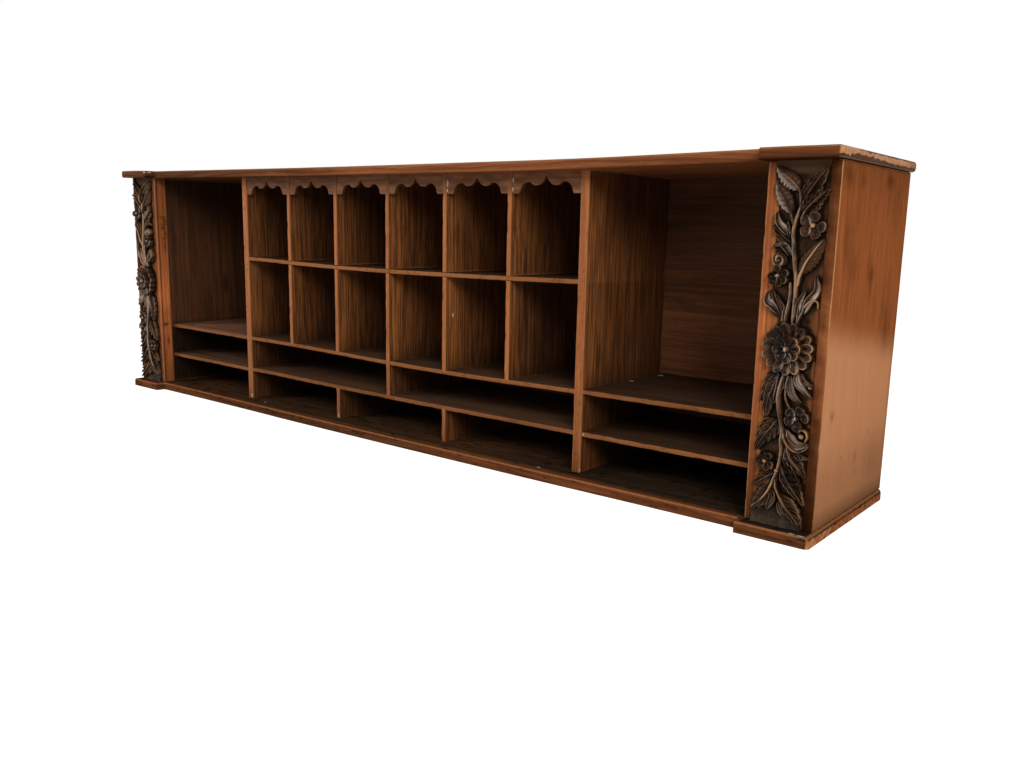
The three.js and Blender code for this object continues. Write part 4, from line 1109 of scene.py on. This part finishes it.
def petalRings(centre, angle, root, reach, width, rise, look, wearAndSheen):
    # A cup: rings go from the foot of its wall over a rolled rim into the bowl, whose depth falls
    # with the square of the way from its middle. Cosine flutes run along it.
    around, rim = 28, 0.87
    share = np.array([1.0, 1.0, 0.985, 0.94, 0.87, 0.79, 0.68, 0.54, 0.38, 0.2, 0.06])[:, None]
    turn = np.linspace(0, 2 * np.pi, around, endpoint=False)[None, :]
    along = root + 0.5 * (reach - root) * (1 + share * np.cos(turn))
    out = 0.5 * width * share * np.sin(turn) * (1 + 0.22 * np.cos(turn))
    slope = rise[0] + (rise[1] - rise[0]) * (along - root) / (reach - root)
    over = np.clip((share - rim) / (1 - rim), 0, 1)
    roll = 3.0 * (1 - np.sqrt(1 - over ** 2))
    bowl = look["dish"] * (1 - np.clip(share / rim, 0, 1) ** 2)
    flute = np.cos(2 * np.pi * look["flutes"] * out / width) * np.clip((0.85 - share) / 0.3, 0, 1)
    rings = np.empty((len(share), around, 3))
    c, s = math.cos(angle), math.sin(angle)
    rings[..., 0] = centre[0] + c * along - s * out
    rings[..., 1] = centre[1] + s * along + c * out
    rings[..., 2] = slope - roll - bowl - look["fluteDepth"] * flute
    rings[0, :, 2] = carving["floor"]
    # rims are rubbed pale, and painted as lit most on their right side
    rub = look["rimRub"] * np.clip(0.6 + 0.6 * math.cos(angle - 0.4), 0.25, 1.1)
    ridge = rub * np.exp(-((share - 0.9) / 0.065) ** 2) * np.clip(0.5 + 0.6 * np.cos(turn), 0, 1)
    # the bowl is painted dark as shade, less on highlighted petals
    grimeAndShade = np.clip(1 - share / 0.8, 0, 1) ** 0.5 * np.clip(0.75 - 0.3 * np.cos(turn), 0, 1)
    ridge = ridge - 1.05 * (1 - 0.3 * wearAndSheen) * grimeAndShade
    return rings, ridge


def beadRings(centre, radius, height):
    # a dome on a short wall
    turn = np.linspace(0, 2 * np.pi, 18, endpoint=False)[None, :]
    climb = np.radians([0, 0, 20, 40, 60, 78])[:, None]
    rings = np.empty((6, 18, 3))
    rings[..., 0] = centre[0] + radius * np.cos(climb) * np.cos(turn)
    rings[..., 1] = centre[1] + radius * np.cos(climb) * np.sin(turn)
    rings[..., 2] = height - radius * 0.8 * (1 - np.sin(climb))
    rings[0, :, 2] = carving["floor"]
    return rings, 0.75 * np.sin(climb) ** 2 * np.ones_like(turn)


def budRings(centre, radius, height, turns):
    # a rolled bud: a dome with a spiral groove
    turn = np.linspace(0, 2 * np.pi, 40, endpoint=False)[None, :]
    share = np.concatenate([[1, 1], np.linspace(0.97, 0.04, 22)])[:, None]
    spiral = np.cos(turn + 2 * np.pi * turns * share)
    rings = np.empty((24, 40, 3))
    rings[..., 0] = centre[0] + radius * share * np.cos(turn)
    rings[..., 1] = centre[1] + radius * share * np.sin(turn)
    rings[..., 2] = height * (0.7 + 0.2 * np.sqrt(np.clip(1 - share ** 2, 0, 1)) + 0.15 * spiral)
    rings[0, :, 2] = carving["floor"]
    rings[1, :, 2] *= 0.7
    return rings, 0.6 * np.clip(spiral, 0, 1) ** 3 * (share < 0.98)


def rosetteRings():
    # two rings of cups round a bead; every other outer cup lies a little lower
    made = []
    for ring, count, offset in (("outer", rosette["outer"], 0.25), ("inner", rosette["inner"], 0.1)):
        reach = rosette["radius"] if ring == "outer" else rosette["innerReach"]
        for number in range(count):
            angle = 2 * np.pi * (number + offset) / count
            lift = 0.88 if ring == "outer" and number % 2 else 1.0
            cup = petalRings(rosette["at"], angle, rosette[ring + "Root"], reach, rosette[ring + "Width"],
                             [lift * level for level in rosette[ring + "Rise"]], rosette,
                             petalShare(angle, "rosette"))
            made.append((cup, petalShare(angle, "rosette")))
    made.append((beadRings(rosette["at"], rosette["bead"], rosette["beadRise"]), highlight["bead"]))
    return made


def flowerRings(centre, radius, directions):
    made = []
    width = flowerLook["width"] * radius * 5 / len(directions)
    for number, direction in enumerate(directions):
        lift = 1.0 if number % 2 else 0.9
        angle = math.radians(direction)
        cup = petalRings(centre, angle, flowerLook["root"] * radius, radius, width,
                         [lift * level for level in flowerLook["rise"]], flowerLook,
                         petalShare(angle, "flower"))
        made.append((cup, petalShare(angle, "flower")))
    made.append((beadRings(centre, flowerLook["bead"] * radius, flowerLook["beadRise"]), highlight["bead"]))
    return made


def highlighted(points, quads, triangles, ridge, share, way):
    # Flanks that look towards the bays take a painted highlight: a climb of the cosine between each point's normal
    # (the sum of its faces' areas) and the way the light comes from.
    normals = np.zeros_like(points)
    for part in (quads, triangles):
        area = np.cross(points[part[:, 2]] - points[part[:, 0]], points[part[:, -1]] - points[part[:, 1]])
        if part.shape[1] == 3:
            area = np.cross(points[part[:, 1]] - points[part[:, 0]], points[part[:, 2]] - points[part[:, 0]])
        for corner in range(part.shape[1]):
            np.add.at(normals, part[:, corner], area)
    normals /= np.linalg.norm(normals, axis=1)[:, None] + 1e-9
    return points, quads, triangles, ridge, share * ease(normals @ np.array(way[0]), way[1], way[2])


def petalShare(angle, word):
    # petals that point one way take a painted highlight, by the cosine of the turn from it
    return highlight[word] * (0.08 + 0.92 * max(0.0, math.cos(angle - math.radians(highlight[word + "Turn"]))))


def reliefParts():
    made = [(part, share, "cup") for part, share in rosetteRings()]
    for flower in flowers:
        made += [(part, share, "cup") for part, share in flowerRings(*flower)]
    made.append((budRings(bud["at"], bud["radius"], bud["rise"], bud["turns"]), highlight["bead"], "petal"))
    made += [(stemRings(*stem), highlight["stem"], "stem") for stem in stems]
    made += [(beadRings(*bead), highlight["bead"], "petal") for bead in beads]
    for path, halves, teeth, height, share in blades:
        made.append((bladeRings(path, halves, teeth, height), share, "blade"))
    for path, halves, lobes, height, tilt, share in leaves:
        if lobes:
            made += [(part, share, "petal") for part in lobedLeaf(path, halves, lobes, height, tilt)]
        else:
            made.append((leafRings(path, halves, height, tilt), share, "scoop"))
    return [highlighted(*ringSolid(*rings), share, highlight[kind + "Way"]) + (highlight["left"][kind],)
            for rings, share, kind in made]


def groundGrid():
    # the board behind the relief: a closed box grid, close lines on its face
    half = carving["width"] / 2
    low, high = (-half, carving["foot"], -carving["thickness"]), (half, carving["head"], 0.0)
    return boxGrid(np.array(low), np.array(high), 0.6, [carving["step"]] * 3, {})


def nearness(points, reliefPoints, spread):
    # how much carving stands near each point of the ground: a count on a 2 mm grid, blurred by a bell
    edges = [np.arange(-60, 62, 2), np.arange(0, 702, 2)]
    count = np.minimum(np.histogram2d(reliefPoints[:, 0], reliefPoints[:, 1], bins=edges)[0], 3.0)
    bell = np.exp(-0.5 * (np.arange(-10, 11) / spread) ** 2)
    bell /= bell.sum()
    count = np.apply_along_axis(np.convolve, 0, count, bell, "same")
    count = np.apply_along_axis(np.convolve, 1, count, bell, "same")
    column = np.clip((points[:, 0] + 57.5) / 2, 0, count.shape[0] - 1).astype(int)
    row = np.clip(points[:, 1] / 2, 0, count.shape[1] - 1).astype(int)
    return count[column, row]


def standing(points):
    # how far each point stands above its neighbours, in shares of the reach: its height less the mean of
    # the highest points on a 1 mm grid, blurred by a bell
    cell = np.clip((points[:, :2] + [70, 0]).astype(int), 0, [139, 719])
    top = np.zeros((140, 720))
    np.maximum.at(top, (cell[:, 0], cell[:, 1]), points[:, 2])
    bell = np.exp(-0.5 * (np.arange(-12, 13) / crests["spread"]) ** 2)
    bell /= bell.sum()
    for axis in (0, 1):
        top = np.apply_along_axis(np.convolve, axis, top, bell, "same")
    return np.clip((points[:, 2] - top[cell[:, 0], cell[:, 1]]) / crests["reach"], -1, 1)


def pilasterPiece(name, word, side, drawn, faces, material, marks):
    # from the drawing's millimetres to the sorter's frame; the left one is mirrored and its faces turned back
    world = np.empty_like(drawn)
    world[:, 0] = side * (carving["middleX"] + drawn[:, 0] * mm)
    world[:, 1] = carving["groundY"] - drawn[:, 2] * mm
    world[:, 2] = drawn[:, 1] * mm
    if side < 0:
        faces = [part[:, ::-1] for part in faces]
    marks["grain"] = grainOf(world, world.mean(0), "z", 700)
    piece = addMesh(f"carved_pilaster_{word}_{name}", world, faces, material, marks)
    piece.data.set_sharp_from_angle(angle=math.radians(62))
    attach(piece, "root")
    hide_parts(f"carved_pilaster_{word}")
    print("carved pilaster", word, name, sum((part.shape[1] - 2) * len(part) for part in faces), "triangles")


def addPilaster(word, side, relief):
    points, quads = groundGrid()
    face = points[:, 2] > -0.5
    points[:, 2] -= carving["gouge"] * face * (1 + ripple(points, 14, 77))     # shallow gouge marks
    # the foot of the ground slopes forward
    slope = np.clip((carving["slopeTop"] - points[:, 1]) / (carving["slopeTop"] - carving["foot"]), 0, 1)
    reliefPoints = np.concatenate([part[0] for part in relief])
    # painted shade, with some grime, where carving stands near: depth close in, shade further out
    depth = np.clip(nearness(points, reliefPoints, 1.2) / 1.5, 0, 1)
    shade = np.clip(nearness(points, reliefPoints, 3.4) / 1.1, 0, 1)
    openEdge = ease(-points[:, 0], 36, 46) + ease(points[:, 0], 36, 46) * (1 - ease(points[:, 1], 425, 465))
    shade *= 1 - 0.8 * openEdge
    # the holes are dark recesses, painted as shade
    for at, size in carving["holes"]:
        depth = np.maximum(depth, 0.8 * np.exp(-(((points[:, :2] - at) / size) ** 2).sum(1)))
    # darker at the foot; along the head, painted shadow of the top
    shade = np.maximum(shade, 0.9 * ease(-points[:, 1], -carving["darkFoot"], -carving["darkFoot"] + 35))
    shade = np.maximum(shade, 0.8 * ease(points[:, 1], carving["darkHead"], carving["darkHead"] + 25))
    # flush with the stile along its edge
    points[:, 2] += carving["marginRise"] * face * (1 - ease(points[:, 0], -47.5, -44))
    points[:, 2] += carving["slopeOut"] * slope * face
    # the left ground is painted darker, as shade between its relief
    leftLighting = np.full(len(points), 0.0 if side > 0 else 0.85)
    pilasterPiece("board", word, side, points, [quads], groundMaterial,
                  {"shade": shade, "slope": slope, "depth": depth, "leftLighting": leftLighting})
    counts = np.cumsum([0] + [len(part[0]) for part in relief])
    faces = [np.concatenate([part[kind] + count for part, count in zip(relief, counts)]) for kind in (1, 2)]
    stands = standing(reliefPoints)
    ridge = np.concatenate([part[3] for part in relief]) * (1.0 if side > 0 else carving["leftRub"])
    ridge += crests["rub"] * ease(stands, crests["start"], 1) - crests["grimeAndShade"] * ease(-stands, 0, 0.8)
    if side < 0:
        # taller, and softer along its outer edge
        soft = carving["leftSoft"] * ease(reliefPoints[:, 0], 34, 44) * (reliefPoints[:, 2] > 0)
        reliefPoints[:, 2] = carving["leftRise"] * (reliefPoints[:, 2] - soft * crests["reach"] * stands)
    # on the left the relief is painted paler and its flanks take their own share of painted highlight
    pilasterPiece("relief", word, side, reliefPoints, faces, reliefMaterial,
                  {"ridge": ridge,
                   "highlight": np.concatenate([part[4] * (1.0 if side > 0 else part[5]) for part in relief]),
                   "leftLighting": np.full(counts[-1], 0.0 if side > 0 else 0.15)})


groundFinish = {"pale": "a86638", "deep": "86502b", "far": "74452a", "farDeep": "53321d",
                "stain": "38271c", "depth": "150d08", "leftLightingTint": "3d2b1e",
                "slope": "4a3a2f", "slopeDark": "2c231e", "head": "5d4230", "roughness": (0.5, 0.65), "gloss": 0.03,
                "nearX": 1.05, "farX": 1.085, "headZ": (0.652, 0.664)}
reliefFinish = {"dark": "20130b", "pale": "432a18", "rubbed": "b1865f", "hollow": "0c0704", "dust": "3d3128",
                "highlight": "cab7a9", "leftLightingTint": "5f4830", "roughness": (0.26, 0.4), "gloss": 0.08, "lowHeight": 0.0,
                "highHeight": 0.006, "dustZ": (0.095, 0.04), "dustShare": 0.5}


def carvedShader(tree, colour, finish, place, grain, patches):
    # knife marks along the grain and a fine tooth, under old wax
    streaks = cloud(tree, stretch(tree, grain, (6.0, 160.0, 160.0)), 1.0, 4.0, 0.6)
    bumps = plus(tree, streaks, times(tree, cloud(tree, place, 420.0, 2.0, 0.6), 0.6))
    bump = addNode(tree, "Bump", {"Strength": 0.3, "Distance": 0.0006, "Height": bumps})
    low, high = finish["roughness"]
    ends = {"Base Color": colour, "Roughness": rise(tree, patches, 0.3, 0.75, low, high),
            "Specular IOR Level": finish["gloss"], "Normal": bump.outputs[0]}
    addNode(tree, "OutputMaterial", {0: addNode(tree, "BsdfPrincipled", ends).outputs[0]})


def carvedGround(finish):
    material, tree = newMaterial("carved_ground")
    grain = marked(tree, "grain", "Vector")
    shade = marked(tree, "shade")
    place = addNode(tree, "TexCoord").outputs["Object"]
    spot = addNode(tree, "SeparateXYZ", {0: place})
    patches = cloud(tree, place, 22.0, 4.0, 0.6)
    share = rise(tree, cloud(tree, stretch(tree, grain, (6.0, 160.0, 160.0)), 1.0, 4.0, 0.6), 0.35, 0.65)
    # the ground is lighter beside the bays than beside the end panels
    ground = blend(tree, share, tint(finish["deep"]), tint(finish["pale"]))
    far = blend(tree, share, tint(finish["farDeep"]), tint(finish["far"]))
    far = blend(tree, rise(tree, spot.outputs[2], 0.43, 0.5, 0.0, 0.5), far, tint(finish["farDeep"]))
    outwards = rise(tree, calc(tree, "ABSOLUTE", spot.outputs[0]), finish["nearX"], finish["farX"])
    ground = blend(tree, outwards, ground, far)
    # painted shade, with some grime, near the relief; painted dark in the deepest places
    stained = rise(tree, plus(tree, shade, times(tree, patches, 0.4)), 0.35, 0.8)
    # on the left, painted shade darkens the ground
    leftLighting = marked(tree, "leftLighting")
    ground = blend(tree, times(tree, leftLighting, rise(tree, outwards, 0.0, 1.0, 0.5, 1.0)), ground,
                   tint(finish["leftLightingTint"]))
    ground = blend(tree, stained, ground, tint(finish["stain"]))
    depth = marked(tree, "depth")
    ground = blend(tree, rise(tree, depth, 0.25, 0.85, 0.0, 0.9), ground, tint(finish["depth"]))
    # the head takes a darker brown: a painted shadow of the top
    atHead = rise(tree, spot.outputs[2], *finish["headZ"], 0.0, 0.8)
    ground = blend(tree, atHead, ground, tint(finish["head"]))
    # the sloped foot is dusty grey and painted paler, as lit from above
    slope = marked(tree, "slope")
    dusty = blend(tree, rise(tree, cloud(tree, place, 60.0, 5.0, 0.65), 0.4, 0.65), tint(finish["slopeDark"]),
                  tint(finish["slope"]))
    ground = blend(tree, rise(tree, slope, 0.0, 0.25, 0.0, 0.9), ground, dusty)
    carvedShader(tree, ground, finish, place, grain, patches)
    return material


def carvedRelief(finish):
    material, tree = newMaterial("carved_relief")
    grain = marked(tree, "grain", "Vector")
    ridge = marked(tree, "ridge")
    place = addNode(tree, "TexCoord").outputs["Object"]
    spot = addNode(tree, "SeparateXYZ", {0: place})
    patches = cloud(tree, place, 22.0, 4.0, 0.6)
    relief = blend(tree, rise(tree, patches, 0.35, 0.7), tint(finish["dark"]), tint(finish["pale"]))
    dusty = rise(tree, spot.outputs[2], finish["dustZ"][1], finish["dustZ"][0], finish["dustShare"], 0.0)
    relief = blend(tree, dusty, relief, tint(finish["dust"]))
    # the left relief is painted paler, as lit
    leftLighting = marked(tree, "leftLighting")
    relief = blend(tree, leftLighting, relief, tint(finish["leftLightingTint"]))
    # painted highlight on the flanks that face the light, broken into patches
    flank = marked(tree, "highlight")
    wearAndSheen = cloud(tree, place, 130.0, 3.0, 0.6)
    flank = times(tree, flank, rise(tree, wearAndSheen, 0.25, 0.6, 0.45, 1.0))
    relief = blend(tree, flank, relief, tint(finish["highlight"]))
    # low places are painted dark as shade, crests are rubbed
    height = less(tree, carving["groundY"], spot.outputs[1])
    deep = rise(tree, height, finish["lowHeight"], finish["highHeight"], 1.0, 0.0)
    relief = blend(tree, deep, relief, tint(finish["hollow"]))
    sunk = rise(tree, ridge, -0.9, -0.05, 0.9, 0.0)
    relief = blend(tree, sunk, relief, tint(finish["hollow"]))
    rub = times(tree, rise(tree, ridge, 0.1, 0.95), rise(tree, patches, 0.36, 0.6))
    relief = blend(tree, times(tree, rub, 0.9), relief, tint(finish["rubbed"]))
    carvedShader(tree, relief, finish, place, grain, patches)
    return material


groundMaterial, reliefMaterial = carvedGround(groundFinish), carvedRelief(reliefFinish)
relief = reliefParts()
for side, word in ((-1, "left"), (1, "right")):
    addPilaster(word, side, relief)


# Drops of old paint and nail heads: flat domes on the faces they sit on

specks = {
    # face's axis and side, place in millimetres, half sizes along the other two axes, rise
    "paint_specks": [("y", -1, (208.7, -133.2, 651), (2.6, 9), 0.7), ("y", -1, (208.2, -133.2, 634), (2, 4), 0.6),
                     ("y", -1, (409.5, -133.2, 656), (1.8, 6), 0.6), ("y", -1, (408.8, -133.2, 636), (1.5, 5), 0.5),
                     ("x", 1, (206.4, -108.7, 337), (3, 6), 0.5), ("y", -1, (617, -134.8, 28), (1.4, 4), 0.5),
                     ("y", -1, (-601, -134.8, 31), (4, 6), 0.6), ("y", -1, (-198, -134.8, 28), (3, 5), 0.6),
                     ("z", 1, (522, -160, 21.9), (4, 3), 0.5), ("z", 1, (-520, -146, 21.9), (4, 3), 0.5),
                     ("y", -1, (623.5, -134.5, 110), (1.6, 2.4), 0.5), ("z", 1, (633, 40, 209), (6, 4), 0.5),
                     ("z", 1, (640, 160, 209), (7, 5), 0.5), ("x", 1, (1164.6, -187, 680.6), (3, 1.2), 0.5),
                     ("y", -1, (-1028, -208.2, 693.5), (7, 2.4), 0.6), ("x", 1, (-1019.6, -197, 693.5), (7, 2.4), 0.7),
                     ("z", 1, (1132, -203, 21.9), (6, 2), 0.5), ("z", 1, (1150, -204, 21.9), (8, 2), 0.5)],
    "nail_heads": [("y", -1, (-383, -133.0, 634), (2, 2), 0.6), ("y", -1, (-388, -133.0, 626), (2, 2), 0.6),
                   ("y", -1, (-183, -133.0, 632), (2, 2), 0.6), ("y", -1, (652, 199.2, 341), (2.4, 2.4), 0.6),
                   ("y", -1, (761, 199.2, 453), (2.4, 2.4), 0.6), ("x", 1, (1159.9, 90.6, 168), (1, 9), 0.3),
                   ("x", 1, (1159.9, -60, 140), (0.8, 7), 0.3), ("x", 1, (1159.9, 30, 95), (0.8, 10), 0.3)],
}
speckColours = {"paint_specks": ("cfc4b4", "8f8070"), "nail_heads": ("2b211b", "4a3a2e")}


def domeRings(axis, side, at, sizes, rise):
    # half an ellipsoid whose foot is sunk into its face by its rise; the rim wavers by a sine of three turns
    normal = "xyz".index(axis)
    turn = np.linspace(0, 2 * np.pi, 20, endpoint=False)[None, :]
    climb = np.radians([-60, 0, 25, 50, 75])[:, None]
    reach = np.cos(climb) * (1 + 0.18 * np.sin(3 * turn + at[0]))
    rings = np.empty((5, 20, 3))
    for number, other in enumerate(o for o in range(3) if o != normal):
        rings[..., other] = at[other] + sizes[number] * reach * (np.cos(turn), np.sin(turn))[number]
    rings[..., normal] = at[normal] + side * rise * np.sin(climb)
    return rings, np.zeros((5, 20))


for name, drops in specks.items():
    material, tree = newMaterial(name)
    place = addNode(tree, "TexCoord").outputs["Object"]
    light, dark = speckColours[name]
    colour = blend(tree, rise(tree, cloud(tree, place, 900.0, 3.0), 0.35, 0.65), tint(dark), tint(light))
    shader = addNode(tree, "BsdfPrincipled", {"Base Color": colour, "Roughness": 0.7, "Specular IOR Level": 0.1})
    addNode(tree, "OutputMaterial", {0: shader.outputs[0]})
    solids = [ringSolid(*domeRings(*drop)) for drop in drops]
    counts = np.cumsum([0] + [len(solid[0]) for solid in solids])
    faces = [np.concatenate([solid[kind] + count for solid, count in zip(solids, counts)]) for kind in (1, 2)]
    piece = addMesh(name, np.concatenate([solid[0] for solid in solids]) * mm, faces, material, {})
    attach(piece, "root")
print("specks and nails")


# Floor, light and camera

floorLook = {"size": 9.0, "colour": "e4e2de", "glow": 0.76, "drop": 0.5 * mm}


def isSeen(tree):
    # 1 for what the camera, a gloss or a glass sees, 0 for light that bounces on to the sorter
    path = addNode(tree, "LightPath")
    seen = calc(tree, "MAXIMUM", path.outputs["Is Camera Ray"], path.outputs["Is Glossy Ray"])
    return calc(tree, "MAXIMUM", seen, path.outputs["Is Transmission Ray"])


material, tree = newMaterial("floor_paper")
paper = addNode(tree, "BsdfDiffuse", {"Color": tint(floorLook["colour"])})
glow = addNode(tree, "Emission", {"Color": (1, 1, 1, 1),
                                  "Strength": times(tree, isSeen(tree), floorLook["glow"])})
both = addNode(tree, "AddShader", {0: paper.outputs[0], 1: glow.outputs[0]})
addNode(tree, "OutputMaterial", {0: both.outputs[0]})
corners = floorLook["size"] * np.array([[-1, -1, 0], [1, -1, 0], [1, 1, 0], [-1, 1, 0]], float)
floor = addMesh("floor", corners - [0, 0, floorLook["drop"]], [np.array([[0, 1, 2, 3]])], material, {})

world = bpy.data.worlds.new("studio")
world.use_nodes = True
world.node_tree.nodes.clear()
tree = world.node_tree
surround = {"level": 0.34}
strength = plus(tree, times(tree, isSeen(tree), 1 - surround["level"]), surround["level"])
air = addNode(tree, "Background", {0: (1, 1, 1, 1), 1: strength})
addNode(tree, "OutputWorld", {0: air.outputs[0]})
scene.world = world

lamps = {
    "key": {"at": (3.9, -2.8, 2.5), "size": 2.0, "power": 132, "colour": (1.0, 0.97, 0.93)},
    "fill": {"at": (-2.9, -3.1, 2.0), "size": 1.2, "power": 62, "colour": (0.97, 0.98, 1.0)},
}
for name, lamp in lamps.items():
    data = bpy.data.lights.new(name, "AREA")
    data.shape = "DISK"
    data.size = lamp["size"]
    data.energy = lamp["power"]
    data.color = lamp["colour"]
    light = bpy.data.objects.new(name, data)
    scene.collection.objects.link(light)
    light.location = lamp["at"]
    aim = np.array([0.2, 0.0, 0.35]) - np.array(lamp["at"])
    light.rotation_euler = Vector(aim).to_track_quat("-Z", "Y").to_euler()

shot = {"at": (1.7042, -1.7051, 0.5558), "heading": 38.293, "dip": 10.604, "roll": 1.356,
        "focalPixels": 891.06, "imageWidth": 1024, "sensor": 36.0, "shift": (-0.01476, 0.00876)}


def placeCamera():
    # heading is to the left of straight ahead, dip below level, roll turns the frame
    heading, dip, roll = (math.radians(shot[key]) for key in ("heading", "dip", "roll"))
    forward = np.array([-math.sin(heading) * math.cos(dip), math.cos(heading) * math.cos(dip), -math.sin(dip)])
    level = np.array([math.cos(heading), math.sin(heading), 0.0])
    upright = np.cross(level, forward)
    across = math.cos(roll) * level + math.sin(roll) * upright
    up = -math.sin(roll) * level + math.cos(roll) * upright
    turn = Matrix(np.stack([across, up, -forward], -1).tolist()).to_4x4()
    data = bpy.data.cameras.new("photo_view")
    data.sensor_fit = "HORIZONTAL"
    data.sensor_width = shot["sensor"]
    data.lens = shot["sensor"] * shot["focalPixels"] / shot["imageWidth"]
    data.shift_x, data.shift_y = shot["shift"]
    camera = bpy.data.objects.new("photo_view", data)
    scene.collection.objects.link(camera)
    camera.matrix_world = Matrix.Translation(shot["at"]) @ turn
    scene.camera = camera


placeCamera()
print("floor, light and camera")

bpy.context.view_layer.update()
